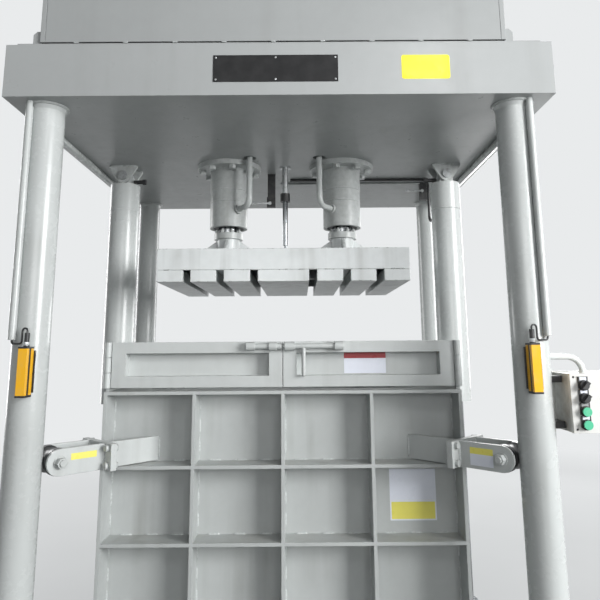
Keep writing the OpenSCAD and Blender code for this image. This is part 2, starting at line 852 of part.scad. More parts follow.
module lever_right() {
    color(zinc) translate([right_switch[0] - 8, right_switch[1] - 15, right_pivot_z]) switch_lever();
}

module lever_centre() {
    color(zinc) translate([centre_switch[0] - 8, centre_switch[1] - 11, centre_pivot_z]) switch_lever();
}

// Cable and conduit along the underside to the right switch
module switch_wiring() {
    turn = 30;
    end_x = 700;
    drop_z = beam_z - 190;
    color(black) {
        translate([0, wire_y, beam_z - wire_d / 2]) drum_x(wire_d / 2, 20, end_x - turn);
        translate([end_x - turn, wire_y, beam_z - wire_d / 2 - turn]) quarter_bend(wire_d, turn);
        translate([end_x, wire_y, 0]) drum(wire_d, drop_z, beam_z - wire_d / 2 - turn);
        translate([end_x, wire_y - turn, drop_z])
            rotate([0, 0, 90]) mirror([0, 0, 1]) quarter_bend(wire_d, turn);
        translate([end_x, 0, drop_z - turn]) drum_y(wire_d / 2, lift_d / 2, wire_y - turn);
        difference() {
            translate([end_x, 0, drop_z - turn]) drum_y(10, 40, lift_d / 2);
            translate([lift_x, 0, 0]) drum(lift_d + 2 * run_fit, drop_z - 60, drop_z);
        }
    }
}

// Welded platen box with the rod bosses and their gussets
module platen() {
    z0 = platen_z + block_h;
    wall = 16;
    gusset = 126;
    bay_x = platen_w / 4;
    bay_y = platen_d / 2;
    color(paint) {
        difference() {
            span([-platen_w / 2, -platen_d / 2, z0], [platen_w / 2, platen_d / 2, platen_top]);
            for (i = [0 : 3], j = [0 : 1])
                span([-platen_w / 2 + i * bay_x + wall, -platen_d / 2 + j * bay_y + wall, z0 - eps],
                     [-platen_w / 2 + (i + 1) * bay_x - wall, -platen_d / 2 + (j + 1) * bay_y - wall,
                      platen_top - wall]);
        }
        for (x = [-1, 1]) translate([x * cyl_x, 0, 0]) {
            drum(boss_d, platen_top - eps, rod_end_z);
            for (a = [0 : 90 : 270])
                rotate([0, 0, a]) translate([0, 6, 0]) rotate([90, 0, 0]) linear_extrude(12)
                polygon([[boss_d / 2 - 5, platen_top - eps], [boss_d / 2 + gusset, platen_top - eps],
                         [boss_d / 2 + gusset, platen_top], [boss_d / 2, clamp_z - 4],
                         [boss_d / 2 - 5, clamp_z - 4]]);
        }
    }
}

module platen_blocks() {
    color(paint) slotted_blocks(platen_w, platen_d - 2 * block_inset, platen_z, slot_w);
}

// Press rod with its piston
module ram() {
    color(chrome) {
        drum(ram_d, rod_end_z, piston_z);
        drum(bore_d - 2 * run_fit, piston_z, piston_z + piston_h);
    }
}

// Bolted clamp rings between the rods and the platen bosses
module rod_clamps() {
    ring_top = clamp_z + clamp_t;
    color(paint) for (x = [-1, 1]) translate([x * cyl_x, 0, 0]) {
        difference() {
            drum(clamp_d, clamp_z, ring_top);
            drum(boss_d + 2 * run_fit, clamp_z - eps, rod_end_z + run_fit);
            drum(ram_d + 2 * run_fit, clamp_z - eps, ring_top + eps);
        }
        for (i = [0 : 7]) rotate([0, 0, 22.5 + 45 * i]) translate([(clamp_d + ram_d) / 4, 0, 0]) {
            translate([0, 0, ring_top]) cylinder(r = 8, h = 12, $fn = 6);
            drum(8, ring_top, ring_top + 18);
        }
    }
}

// Polished guide rod in the middle of the platen
module guide_rod() {
    neck = 68;
    color(chrome) {
        drum(guide_d, platen_top + neck, guide_top);
        drum(guide_d / 2, platen_top, platen_top + neck);
        translate([0, 0, platen_top]) cylinder(r = 16, h = 14, $fn = 6);
    }
}

// Front or back wall: a plate with a grid of ribs
module ribbed_wall() {
    color(paint) {
        span([-side_out, -front_out, bed_top], [side_out, -front_in, rim_z]);
        for (i = [0 : rows])
            span([-side_out, -rib_front, bed_top + i * row_pitch],
                 [side_out, -front_out + eps, bed_top + i * row_pitch + rib_t]);
        for (i = [0 : cols])
            span([-side_out + i * col_pitch, -rib_front, bed_top],
                 [-side_out + i * col_pitch + rib_t, -front_out + eps, rim_z]);
    }
}

module chamber_front() {
    ribbed_wall();
}

module chamber_rear() {
    mirror([0, 1, 0]) ribbed_wall();
}

// Side walls, with the feet that the lift rods stand under
module chamber_sides() {
    bay = (chamber_in_d - rib_t) / side_bays;
    color(paint) pair() {
        span([side_in, -front_in, bed_top], [side_in + wall_t, front_in, rim_z]);
        for (i = [0 : rows])
            span([side_in + wall_t - eps, -front_in, bed_top + i * row_pitch],
                 [side_out, front_in, bed_top + i * row_pitch + rib_t]);
        for (i = [0 : side_bays])
            span([side_in + wall_t - eps, -front_in + i * bay, bed_top],
                 [side_out, -front_in + i * bay + rib_t, rim_z]);
        span([side_out - eps, -foot_w / 2, foot_z - foot_t], [lift_x + 62, foot_w / 2, foot_z]);
        span([side_out - rib_t, -bay / 2, bed_top], [side_out, bay / 2, foot_plate_top + eps]);
        for (y = [-foot_w / 2, foot_w / 2 - 12])
            translate([0, y + 12, 0]) rotate([90, 0, 0]) linear_extrude(12)
            polygon([[side_out - eps, foot_z - foot_t + eps], [side_out - eps, foot_z - 110],
                     [side_out + 12, foot_z - 110], [lift_x + 62, foot_z - foot_t - 14],
                     [lift_x + 62, foot_z - foot_t + eps]]);
    }
}

// Plates round the feed opening, with the fixed knuckles and pins of the doors
module hopper_walls() {
    y0 = hinge_y + knuckle_d / 2 + 0.5;
    y1 = rib_front - hopper_t;
    mid0 = door_z + knuckle_h + 1;
    mid1 = door_z + 2 * knuckle_h - 1;
    color(paint) {
        pair() {
            span([side_out - hopper_t, y0, rim_z], [side_out, y1 - seat_fit, door_top]);
            span([side_out - hopper_t, hinge_y + 2, mid0], [side_out, y0 + 4, mid1]);
            translate([hinge_x, hinge_y, 0]) {
                drum(knuckle_d, mid0, mid1);
                drum(hinge_pin_d, door_z + 1, door_top - 1);
            }
        }
        span([-side_out, y1, rim_z], [side_out, rib_front, door_top]);
    }
}

// Places children in each corner's frame: +X from the column's axis towards the chamber
module at_corners() {
    quad() translate([-col_x, -col_y, roller_z]) rotate([0, 0, 45]) children();
}

// Flat arms from the chamber to the roller forks
module guide_arms() {
    t0 = fork_reach + fork_flange_t;
    t1 = t0 + arm_block_t;
    color(paint) at_corners() {
        difference() {
            span([t0, -fork_flange_w / 2, -fork_flange_h / 2], [t1, fork_flange_w / 2, fork_flange_h / 2]);
            for (s = [-1, 1], z = [-1, 1]) translate([0, s * fork_bolt_s, z * fork_bolt_z])
                drum_x(8 + run_fit, t0 - eps, t1 + eps);
        }
        translate([0, 0, -arm_h / 2 - arm_drop]) linear_extrude(arm_h)
            polygon([[t1 - eps, -arm_t / 2], [arm_reach + arm_t / 2, -arm_t / 2],
                     [arm_reach - arm_t / 2, arm_t / 2], [t1 - eps, arm_t / 2]]);
    }
}

// Forks: a bolted flange and two plates with round ends
module roller_forks() {
    color(paint) at_corners() difference() {
        union() {
            span([fork_reach, -fork_flange_w / 2, -fork_flange_h / 2],
                 [fork_reach + fork_flange_t, fork_flange_w / 2, fork_flange_h / 2]);
            for (s = [-fork_gap / 2 - fork_t, fork_gap / 2]) {
                span([roller_t, s, -fork_h / 2], [fork_reach + eps, s + fork_t, fork_h / 2]);
                translate([roller_t, 0, 0]) drum_y(fork_end_r, s, s + fork_t);
            }
        }
        translate([roller_t, 0, 0]) drum_y(axle_d / 2 + run_fit, -fork_gap, fork_gap);
        for (s = [-1, 1], z = [-1, 1]) translate([0, s * fork_bolt_s, z * fork_bolt_z])
            drum_x(8 + run_fit, fork_reach - eps, fork_reach + fork_flange_t + eps);
    }
}

// Washer, nut and threaded end on one side of a roller axle
module axle_nut() {
    out = fork_gap / 2 + fork_t;
    drum_y(20, out, out + 3);
    translate([0, out + 3, 0]) rotate([-90, 0, 0]) cylinder(r = 17, h = 19, $fn = 6);
    drum_y(10, out + 22, out + 27);
}

// Fork bolts and the roller axles
module fork_bolts() {
    out = fork_gap / 2 + fork_t;
    grip = fork_flange_t + arm_block_t;
    color(paint) at_corners() {
        for (s = [-1, 1], z = [-1, 1]) translate([fork_reach, s * fork_bolt_s, z * fork_bolt_z]) {
            drum_x(11, -11, 0);
            drum_x(8, 0, grip + 15);
            translate([grip, 0, 0]) rotate([0, 90, 0]) cylinder(r = 14, h = 11, $fn = 6);
        }
        translate([roller_t, 0, 0]) {
            drum_y(axle_d / 2, -out - 1, out + 1);
            axle_nut();
            mirror([0, 1, 0]) axle_nut();
        }
    }
}

// Hourglass roller whose waist hugs the column
module guide_roller() {
    color(black) translate([-col_x, -col_y, roller_z]) rotate([0, 0, 45]) translate([roller_t, 0, 0])
        rotate([90, 0, 0]) difference() {
            translate([0, 0, -roller_len / 2]) cylinder(d = roller_d, h = roller_len);
            rotate_extrude() translate([roller_t, 0]) circle(r = waist_gap);
            translate([0, 0, -roller_len]) cylinder(d = axle_d + 2 * run_fit, h = 2 * roller_len);
        }
}

// Lift rods with their pistons and foot flanges
module lift_rods() {
    piston = lift_bottom + lift_gland_h + 8;
    color(chrome) pair() translate([lift_x, 0, 0]) {
        drum(lift_rod_d, foot_z, piston);
        drum(lift_bore - 2 * run_fit, piston, piston + lift_piston_h);
        drum(96, foot_z, foot_z + 20);
    }
}

// One feed door: a deep frame with a sheet behind it and its two hinge knuckles
module door_leaf() {
    difference() {
        union() {
            span([split_gap, door_face, door_z], [door_edge, door_face + door_t, door_top]);
            for (z = [door_z, door_top - knuckle_h + 1]) {
                translate([hinge_x, hinge_y, 0]) drum(knuckle_d, z, z + knuckle_h - 1);
                span([door_edge - 8, hinge_y + 6, z], [hinge_x, hinge_y + 10.4, z + knuckle_h - 1]);
            }
        }
        span([stile_w, door_face - eps, door_z + rail_w],
             [door_edge - stile_w, door_face + door_t - door_sheet, door_top - rail_w]);
        translate([hinge_x, hinge_y, 0]) drum(hinge_pin_d + 2 * run_fit, door_z - eps, door_top + eps);
    }
}

// Left door, with the closed tube that the latch bolt enters
module door_left() {
    color(paint) {
        mirror([1, 0, 0]) door_leaf();
        translate([0, latch_y, latch_z]) difference() {
            union() {
                drum_x(sleeve_r, -131, -100);
                drum_x(nose_r + 2, -101, -49);
                drum_x(sleeve_r, -50, -21);
                drum_x(nose_r + 2.4, -22, -4);
            }
            drum_x(nose_r + 0.5, -110, -4 + eps);
        }
    }
}

// Right door, with the two sleeves of the latch bolt
module door_right() {
    color(paint) {
        door_leaf();
        translate([0, latch_y, latch_z]) difference() {
            union() {
                drum_x(sleeve_r, sleeve_a, sleeve_a + sleeve_len);
                drum_x(sleeve_r, guard_x, guard_x + guard_len);
            }
            drum_x(latch_d / 2 + run_fit, 0, guard_x + guard_len + eps);
        }
    }
}

// Latch bolt with its hanging handle, drawn back into the right door
module latch_bolt() {
    color(paint) translate([0, latch_y, latch_z]) {
        drum_x(nose_r, 2, latch_travel);
        drum_x(latch_d / 2, latch_travel - eps, latch_end);
        translate([handle_x, 0, -handle_len]) cylinder(d = handle_d, h = handle_len);
        translate([handle_x, 0, -handle_len]) sphere(d = handle_d);
    }
}

// Selector knob with its grip bar
module selector_knob() {
    color(black) {
        drum_y(knob_r, -10, -0.5);
        drum_y(5, -1, 12);
        rotate([0, 40, 0]) span([-5, -22, -13], [5, -9, 13]);
    }
}

module push_button() {
    color(green) {
        drum_y(knob_r, -11, -button_travel - 1);
        drum_y(5, -button_travel - 2, 10);
    }
}

module at_switch(i) {
    translate([switch_x, panel_y - holder_t - 3, switch_z[i]]) children();
}

floor_plate();
base_frame();
bed_blocks();
column(-col_x, -col_y);  // column_front_left
column(col_x, -col_y);  // column_front_right
pair() column(col_x, col_y);  // rear_columns
top_beam();
housing_front();
housing_panels();
housing_roof();
translate([-cyl_x, 0, 0]) barrel();  // barrel_left
mirror([1, 0, 0]) translate([-cyl_x, 0, 0]) barrel();  // barrel_right
cylinder_glands();
flange_bolts();
feed_pipes();
rod_sleeve();
black_fittings();
lift_brackets();
lift_pins();
lift_barrels();
oil_tank();
pump_set();
conduits();
curtain_bars();
curtain_fittings();
curtain_leads();
control_box();
control_panel();
device_brackets();
switch_holders();
box_conduit();
limit_switches();
switch_wiring();
platen();
platen_blocks();
translate([-cyl_x, 0, 0]) ram();  // ram_left
translate([cyl_x, 0, 0]) ram();  // ram_right
rod_clamps();
guide_rod();
chamber_front();
chamber_rear();
chamber_sides();
hopper_walls();
guide_arms();
roller_forks();
fork_bolts();
lift_rods();
door_left();
door_right();
latch_bolt();
guide_roller();  // roller_front_left
mirror([1, 0, 0]) guide_roller();  // roller_front_right
mirror([0, 1, 0]) guide_roller();  // roller_rear_left
mirror([1, 0, 0]) mirror([0, 1, 0]) guide_roller();  // roller_rear_right
at_switch(3) selector_knob();  // selector_upper
at_switch(2) selector_knob();  // selector_lower
at_switch(1) push_button();  // button_upper
at_switch(0) push_button();  // button_lower
lever_centre();
lever_right();
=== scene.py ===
"""Finishes, welds, signs and small trim for an upright baling press whose bale chamber lifts."""

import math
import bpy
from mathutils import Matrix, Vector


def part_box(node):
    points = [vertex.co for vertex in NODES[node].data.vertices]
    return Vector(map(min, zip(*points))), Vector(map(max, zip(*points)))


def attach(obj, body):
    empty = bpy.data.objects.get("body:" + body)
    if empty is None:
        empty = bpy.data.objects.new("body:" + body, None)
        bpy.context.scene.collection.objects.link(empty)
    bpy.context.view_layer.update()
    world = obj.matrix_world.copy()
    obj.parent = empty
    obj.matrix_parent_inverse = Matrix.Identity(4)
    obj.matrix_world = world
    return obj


bl_info = {
    "name": "Lifting Baler Dressing",
    "version": (1, 0, 0),
    "blender": (4, 5, 0),
    "location": "View3D > Sidebar > Baler",
    "description": "Paints a lifting-chamber baler and adds its welds, signs and small trim",
    "category": "Object",
}

import bpy
from bpy.props import FloatProperty, FloatVectorProperty, IntProperty, PointerProperty
from mathutils import Matrix, Vector

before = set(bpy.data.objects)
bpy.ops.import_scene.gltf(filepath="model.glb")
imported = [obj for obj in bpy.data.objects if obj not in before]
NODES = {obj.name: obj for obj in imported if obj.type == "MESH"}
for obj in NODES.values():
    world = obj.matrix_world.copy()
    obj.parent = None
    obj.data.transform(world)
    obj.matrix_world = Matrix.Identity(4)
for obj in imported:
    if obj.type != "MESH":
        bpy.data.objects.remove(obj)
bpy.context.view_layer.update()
IMAGE_SIZE = 600

# Places that the trim shares with the solids, in metres
COLUMN_X, COLUMN_Y = 0.800, 0.690
PRESS_X, LIFT_X = 0.257, 0.733
WALL_FACE, SIDE_FACE, RIB = 0.357, 0.514, 0.012
STITCH, CLEAR = 0.046, 0.010  # length of a cell's stitches, and their distance from its corners
ROLLER_Z, FORK_REACH = 1.095, 0.239
PLATEN_TOP, GUSSET = 1.829, 0.126
SWITCH_Z, SWITCH_PITCH = 1.2105, 0.0385
CURTAIN_X, CURTAIN_Y, CURTAIN_DEPTH, CURTAIN_TOP = 0.776, -0.750, 0.046, 1.454
PROUD, SHEET = 0.0002, 0.0004  # how far a sticker's back is off its face, and its thickness
BACKDROP = "E9EBEC"


def linear(code):
    """An sRGB hex colour, such as C4C9C7, as linear red, green and blue."""
    parts = [int(code[i : i + 2], 16) / 255 for i in (0, 2, 4)]
    return tuple(c / 12.92 if c <= 0.04045 else ((c + 0.055) / 1.055) ** 2.4 for c in parts)


def shade(colour, factor):
    """A colour made darker or lighter, never past white."""
    return tuple(min(1.0, c * factor) for c in colour)


def add(tree, kind, inputs=None, **settings):
    """Adds one shader node, with its settings, its values and the sockets that feed it."""
    made = tree.nodes.new(kind)
    for name, value in settings.items():
        setattr(made, name, value)
    for name, value in (inputs or {}).items():
        socket = made.inputs[name]
        if isinstance(value, bpy.types.NodeSocket):
            tree.links.new(value, socket)
        elif socket.type == "RGBA" and len(value) == 3:
            socket.default_value = (*value, 1.0)
        else:
            socket.default_value = value
    return made


def new_material(name):
    """An empty material with its tree, a Principled shader and the object's coordinates."""
    made = bpy.data.materials.new(name)
    made.use_nodes = True
    tree = made.node_tree
    tree.nodes.clear()
    shader = add(tree, "ShaderNodeBsdfPrincipled")
    add(tree, "ShaderNodeOutputMaterial", {"Surface": shader.outputs[0]})
    place = add(tree, "ShaderNodeTexCoord").outputs["Object"]
    return made, tree, shader, place


def patches(
    tree, place, size_mm, low, high, start=0.0, end=1.0, detail=3.0, rough=0.5, stretch=None
):
    """Clouds about size_mm across: start where they are faint, end where they are thick.
    A stretch below 1 along an axis draws them out along it."""
    if stretch:
        place = add(tree, "ShaderNodeMapping", {"Vector": place, "Scale": stretch}).outputs[0]
    inputs = {"Vector": place, "Scale": 1000.0 / size_mm, "Detail": detail, "Roughness": rough}
    cloud = add(tree, "ShaderNodeTexNoise", inputs).outputs["Fac"]
    inputs = {0: cloud, 1: low, 2: high, 3: start, 4: end}
    return add(tree, "ShaderNodeMapRange", inputs, clamp=True).outputs[0]


def where_all(tree, *masks):
    """A mask that is high only where all of these are; a number among them thins it."""
    result = masks[0]
    for mask in masks[1:]:
        result = add(tree, "ShaderNodeMath", {0: result, 1: mask}, operation="MULTIPLY").outputs[0]
    return result


def layer(tree, mask, share, under, over):
    """Lays one colour over another where the mask is high, by at most share."""
    amount = where_all(tree, mask, share)
    mixed = {0: amount, 6: under, 7: over}
    return add(tree, "ShaderNodeMix", mixed, data_type="RGBA", clamp_result=True).outputs[2]


def lumps(
    tree, place, size_mm, depth_mm, strength, normal=None, detail=2.0, rough=0.5, stretch=None
):
    """The normal of a skin with lumps about size_mm across, laid over another normal."""
    height = patches(tree, place, size_mm, 0.0, 1.0, detail=detail, rough=rough, stretch=stretch)
    inputs = {"Height": height, "Strength": strength, "Distance": depth_mm / 1000.0}
    if normal is not None:
        inputs["Normal"] = normal
    return add(tree, "ShaderNodeBump", inputs).outputs[0]


def rims(tree, radius_mm):
    """The rounded normal of plate edges, and a mask that is 1 on those edges."""
    soft = add(tree, "ShaderNodeBevel", {"Radius": radius_mm / 1000.0}, samples=4).outputs[0]
    flat = add(tree, "ShaderNodeNewGeometry").outputs["Normal"]
    dot = add(tree, "ShaderNodeVectorMath", {0: soft, 1: flat}, operation="DOT_PRODUCT")
    begins, full = 0.995, 0.86  # cosines of the turn between the two normals
    turned = {0: dot.outputs["Value"], 1: begins, 2: full}
    mask = add(tree, "ShaderNodeMapRange", turned, clamp=True).outputs[0]
    return soft, mask


def level_tops(tree):
    """A mask that is 1 on faces that look up, where dust settles."""
    normal = add(tree, "ShaderNodeNewGeometry").outputs["Normal"]
    up = add(tree, "ShaderNodeSeparateXYZ", {0: normal}).outputs[2]
    begins, full = 0.6, 0.95
    return add(tree, "ShaderNodeMapRange", {0: up, 1: begins, 2: full}, clamp=True).outputs[0]


def finish_with(tree, shader, **sockets):
    """Links or sets the shader's sockets, named with _ for a space."""
    for name, value in sockets.items():
        socket = shader.inputs[name.replace("_", " ")]
        if isinstance(value, bpy.types.NodeSocket):
            tree.links.new(value, socket)
        elif socket.type == "RGBA":
            socket.default_value = (*value, 1.0)
        else:
            socket.default_value = value


def enamel(
    name, colour, rough=0.34, peel=0.5, grime=0.25, chips=0.25, dust=0.3, blotch=0.14,
    cloud_mm=38, rim_mm=2.2, shine=0.4, dents=0.35,
):
    """Alkyd machine enamel, sprayed on steel: a low sheen with orange peel about 6 mm wide,
    uneven tone from plate to plate, runs of grime, dust on level tops, chips on edges, a painted
    highlight along edges and shallow dents a hand's breadth across."""
    made, tree, shader, place = new_material(name)
    tone = patches(tree, place, 700, 0.3, 0.7)
    body = layer(tree, tone, 1.0, shade(colour, 0.93), shade(colour, 1.05))
    mottle = patches(tree, place, cloud_mm, 0.3, 0.75, detail=4, rough=0.6)
    body = layer(tree, mottle, blotch, body, shade(colour, 0.62))
    streaks = patches(tree, place, 60, 0.50, 0.76, stretch=(1.0, 1.0, 0.06))
    streaks = where_all(tree, streaks, patches(tree, place, 330, 0.4, 0.65))
    body = layer(tree, streaks, grime, body, linear("66655D"))
    settled = where_all(tree, level_tops(tree), patches(tree, place, 120, 0.35, 0.7, detail=5))
    body = layer(tree, settled, dust, body, linear("A39F93"))
    soft, rim = rims(tree, rim_mm)
    # Painted highlight: a paler colour along the bevelled edges, where light catches them
    painted_edge_highlight = where_all(tree, rim, patches(tree, place, 40, 0.35, 0.6))
    body = layer(tree, painted_edge_highlight, 0.35, body, shade(colour, 1.35))
    worn = where_all(tree, rim, patches(tree, place, 22, 0.54, 0.60, detail=4, rough=0.6))
    body = layer(tree, worn, chips, body, linear("4A4744"))
    low, high = rough - 0.05, rough + 0.10
    gloss = patches(tree, place, cloud_mm, 0.3, 0.75, low, high, detail=4, rough=0.6)
    skin = lumps(tree, place, 6, 0.25, peel * 0.4, soft)
    skin = lumps(tree, place, 260, 1.6, dents, skin, detail=1)
    finish_with(
        tree, shader, Base_Color=body, Roughness=gloss, Normal=skin,
        IOR=1.5, Specular_IOR_Level=shine, Coat_Weight=0.06, Coat_Roughness=0.14,
    )
    return made


def hard_chrome(name):
    """Ground and hard-chromed rod steel: a mirror with fine rings, oil and painted dark reflection
    streaks.
    """
    made, tree, shader, place = new_material(name)
    film = patches(tree, place, 90, 0.4, 0.7, detail=4)
    # Painted reflection: dark streaks along the rod in place of dark surroundings mirrored in it
    painted_reflection_streaks = patches(tree, place, 11, 0.42, 0.58, stretch=(1.0, 1.0, 0.03))
    tone = layer(tree, film, 0.3, linear("C3C7CA"), linear("8F8C84"))
    tone = layer(tree, painted_reflection_streaks, 0.85, tone, linear("3A3D40"))
    gloss = patches(tree, place, 90, 0.4, 0.7, 0.08, 0.22, detail=4)
    rings = lumps(tree, place, 3, 0.1, 0.15, stretch=(0.05, 0.05, 1.0))
    finish_with(tree, shader, Base_Color=tone, Metallic=1.0, Roughness=gloss, Normal=rings)
    return made


def zinc_plate(name, colour):
    """Zinc-plated steel: grey-white metal, dull and spangled, darker where hands and dust reach."""
    made, tree, shader, place = new_material(name)
    cells = add(tree, "ShaderNodeTexVoronoi", {"Vector": place, "Scale": 180.0}).outputs["Color"]
    grey = add(tree, "ShaderNodeSeparateColor", {0: cells}).outputs[0]
    tone = layer(tree, grey, 0.3, colour, shade(colour, 0.65))
    tone = layer(tree, patches(tree, place, 14, 0.45, 0.7, detail=4), 0.4, tone, linear("5E5A52"))
    gloss = add(tree, "ShaderNodeMapRange", {0: grey, 3: 0.3, 4: 0.5}).outputs[0]
    soft, _ = rims(tree, 0.6)
    skin = lumps(tree, place, 2, 0.1, 0.15, soft, detail=3)
    finish_with(tree, shader, Base_Color=tone, Metallic=0.9, Roughness=gloss, Normal=skin)
    return made


def moulded_plastic(name, colour, rough=0.42, grain_mm=0.9, depth=0.3):
    """Moulded plastic or thick lacquer: a fine grain, paler rubbed edges and a little dust."""
    made, tree, shader, place = new_material(name)
    soft, rim = rims(tree, 0.8)
    rubbed = where_all(tree, rim, patches(tree, place, 8, 0.4, 0.65))
    lighter = tuple(min(1.0, c * 1.5 + 0.03) for c in colour)
    tone = layer(tree, rubbed, 0.5, colour, lighter)
    dusty = patches(tree, place, 30, 0.5, 0.75, detail=5)
    tone = layer(tree, dusty, 0.12, tone, linear("9B9890"))
    gloss = patches(tree, place, 30, 0.5, 0.75, rough, rough + 0.16, detail=5)
    skin = lumps(tree, place, grain_mm * 2.5, 0.12, depth, soft)
    finish_with(tree, shader, Base_Color=tone, Roughness=gloss, Normal=skin, IOR=1.49)
    return made


def cast_aluminium(name):
    """Die-cast aluminium under a silver-grey hammered lacquer: small dimples 3 mm apart,
    with brown oil and hand dirt in soft blotches."""
    made, tree, shader, place = new_material(name)
    apart = {"Vector": place, "Scale": 300.0}
    cells = add(tree, "ShaderNodeTexVoronoi", apart, feature="SMOOTH_F1")
    dimples = cells.outputs["Distance"]
    tone = layer(tree, patches(tree, place, 22, 0.35, 0.7), 0.5, linear("CFCFCB"), linear("ABABA5"))
    tone = layer(tree, patches(tree, place, 70, 0.48, 0.72, detail=4), 0.5, tone, linear("6F6355"))
    gloss = patches(tree, place, 22, 0.35, 0.7, 0.36, 0.52)
    soft, _ = rims(tree, 1.5)
    inputs = {"Height": dimples, "Strength": 0.25, "Distance": 0.0004, "Normal": soft}
    skin = add(tree, "ShaderNodeBump", inputs).outputs[0]
    finish_with(tree, shader, Base_Color=tone, Metallic=0.2, Roughness=gloss, Normal=skin)
    return made


def vinyl(name, colour, gloss=0.26):
    """Printed self-adhesive vinyl: even colour under a clear film that lifts light in waves."""
    made, tree, shader, place = new_material(name)
    faded = patches(tree, place, 40, 0.35, 0.7, detail=4)
    tone = layer(tree, faded, 0.35, colour, tuple(c * 0.86 + 0.03 for c in colour))
    sheen = patches(tree, place, 40, 0.35, 0.7, gloss, gloss + 0.14, detail=4)
    waves = lumps(tree, place, 30, 0.3, 0.2)
    finish_with(
        tree, shader, Base_Color=tone, Roughness=sheen, Normal=waves,
        Specular_IOR_Level=0.3, Coat_Weight=0.05, Coat_Roughness=0.1,
    )
    return made


def weld_metal(name, colour):
    """Painted weld bead: enamel over coarse ripples and spatter, glossier than the plate."""
    made, tree, shader, place = new_material(name)
    rough = patches(tree, place, 7, 0.35, 0.7, detail=4, rough=0.65)
    tone = layer(tree, rough, 1.0, shade(colour, 0.8), colour)
    gloss = patches(tree, place, 7, 0.3, 0.7, 0.22, 0.4, detail=4, rough=0.65)
    skin = lumps(tree, place, 7, 0.8, 0.6, detail=4, rough=0.65)
    finish_with(tree, shader, Base_Color=tone, Roughness=gloss, Normal=skin)
    return made


def cable_sheath(name):
    """Soft black PVC sheath: satin, with faint extrusion lines and grey scuffs."""
    made, tree, shader, place = new_material(name)
    scuff = patches(tree, place, 16, 0.55, 0.75, detail=5, rough=0.7)
    tone = layer(tree, scuff, 0.4, linear("17181A"), linear("5A5A58"))
    gloss = patches(tree, place, 16, 0.55, 0.75, 0.38, 0.62, detail=5, rough=0.7)
    finish_with(
        tree, shader, Base_Color=tone, Roughness=gloss, Normal=lumps(tree, place, 2.5, 0.15, 0.2)
    )
    return made


def make_materials(settings):
    """Every finish of the machine, by its name."""
    paint = tuple(settings.enamel)
    return {
        # Painted shade: a darker copy of the machine's grey, so the beam front reads as in shade
        "beam": enamel(
            "Beam enamel darkened for painted shade", linear("A9ACAC"), rough=0.32, shine=0.25, grime=0.15, chips=0.15,
            blotch=0.08,
        ),
        # Painted shade: a darker copy of the machine's grey, so the housing reads as in shade
        "sheet": enamel(
            "Housing enamel darkened for painted shade", linear("A2A5A5"), rough=0.40, shine=0.2, grime=0.15, chips=0.1,
            blotch=0.08,
        ),
        "column": enamel(
            "Column enamel", paint, rough=0.24, grime=0.35, chips=0.2, blotch=0.1, dents=0.08
        ),
        "cylinder": enamel(
            "Cylinder enamel", shade(paint, 0.97), rough=0.38, peel=1.2, grime=0.6, chips=0.5,
            blotch=0.55, cloud_mm=18, rim_mm=3.0, dents=0.08,
        ),
        "plate": enamel("Plate enamel", shade(paint, 0.99), rough=0.38, grime=0.35, chips=0.35),
        # Painted shade: the chamber walls are a darker copy of the machine's grey, for the shade in
        # their rib cells
        "wall": enamel("Chamber enamel darkened for painted shade", shade(paint, 0.88), rough=0.40, grime=0.35, chips=0.35),
        "platen": enamel(
            "Platen enamel", linear("D6DADA"), rough=0.36, grime=0.5, chips=0.9, blotch=0.2,
            rim_mm=5.0,
        ),
        "bolt": enamel("Bolt enamel", shade(paint, 0.98), rough=0.3, grime=0.4, chips=0.6),
        "inner": enamel("Tank enamel", linear("A9B0AE"), rough=0.4, grime=0.3),
        "weld": weld_metal("Painted weld", shade(paint, 1.05)),
        "chrome": hard_chrome("Hard chrome"),
        "zinc": zinc_plate("Zinc plate", linear("B4B7B8")),
        "black_steel": moulded_plastic(
            "Burnt black steel", linear("1E1F21"), rough=0.45, grain_mm=2.0
        ),
        "black_plastic": moulded_plastic("Black polyamide", linear("1A1B1D")),
        "roller": moulded_plastic("Black cast nylon", linear("202123"), rough=0.34, grain_mm=3.0),
        "cable": cable_sheath("Black cable sheath"),
        "yellow": moulded_plastic(
            "Yellow lacquer", tuple(settings.guard), rough=0.3, grain_mm=3.0, depth=0.12
        ),
        "cast": cast_aluminium("Hammered aluminium"),
        "white": moulded_plastic("White switch plate", linear("D4D4D1"), rough=0.38),
        "pipe": moulded_plastic(
            "Grey conduit", linear("D6DAD9"), rough=0.32, grain_mm=3.0, depth=0.12
        ),
        "sign_black": vinyl("Black sign enamel", linear("0E0E10"), gloss=0.42),
        "vinyl_yellow": vinyl("Yellow vinyl", linear("F4EA28")),
        "vinyl_white": vinyl("White vinyl", linear("DEE2EC")),
        "vinyl_pale": vinyl("Faded yellow vinyl", linear("E6DE6C")),
        "vinyl_grey": vinyl("Grey vinyl", linear("9A9C9C")),
        "vinyl_red": vinyl("Red vinyl", linear("9C2F33")),
        "green": moulded_plastic(
            "Green button", tuple(settings.button), rough=0.22, grain_mm=4.0, depth=0.06
        ),
    }


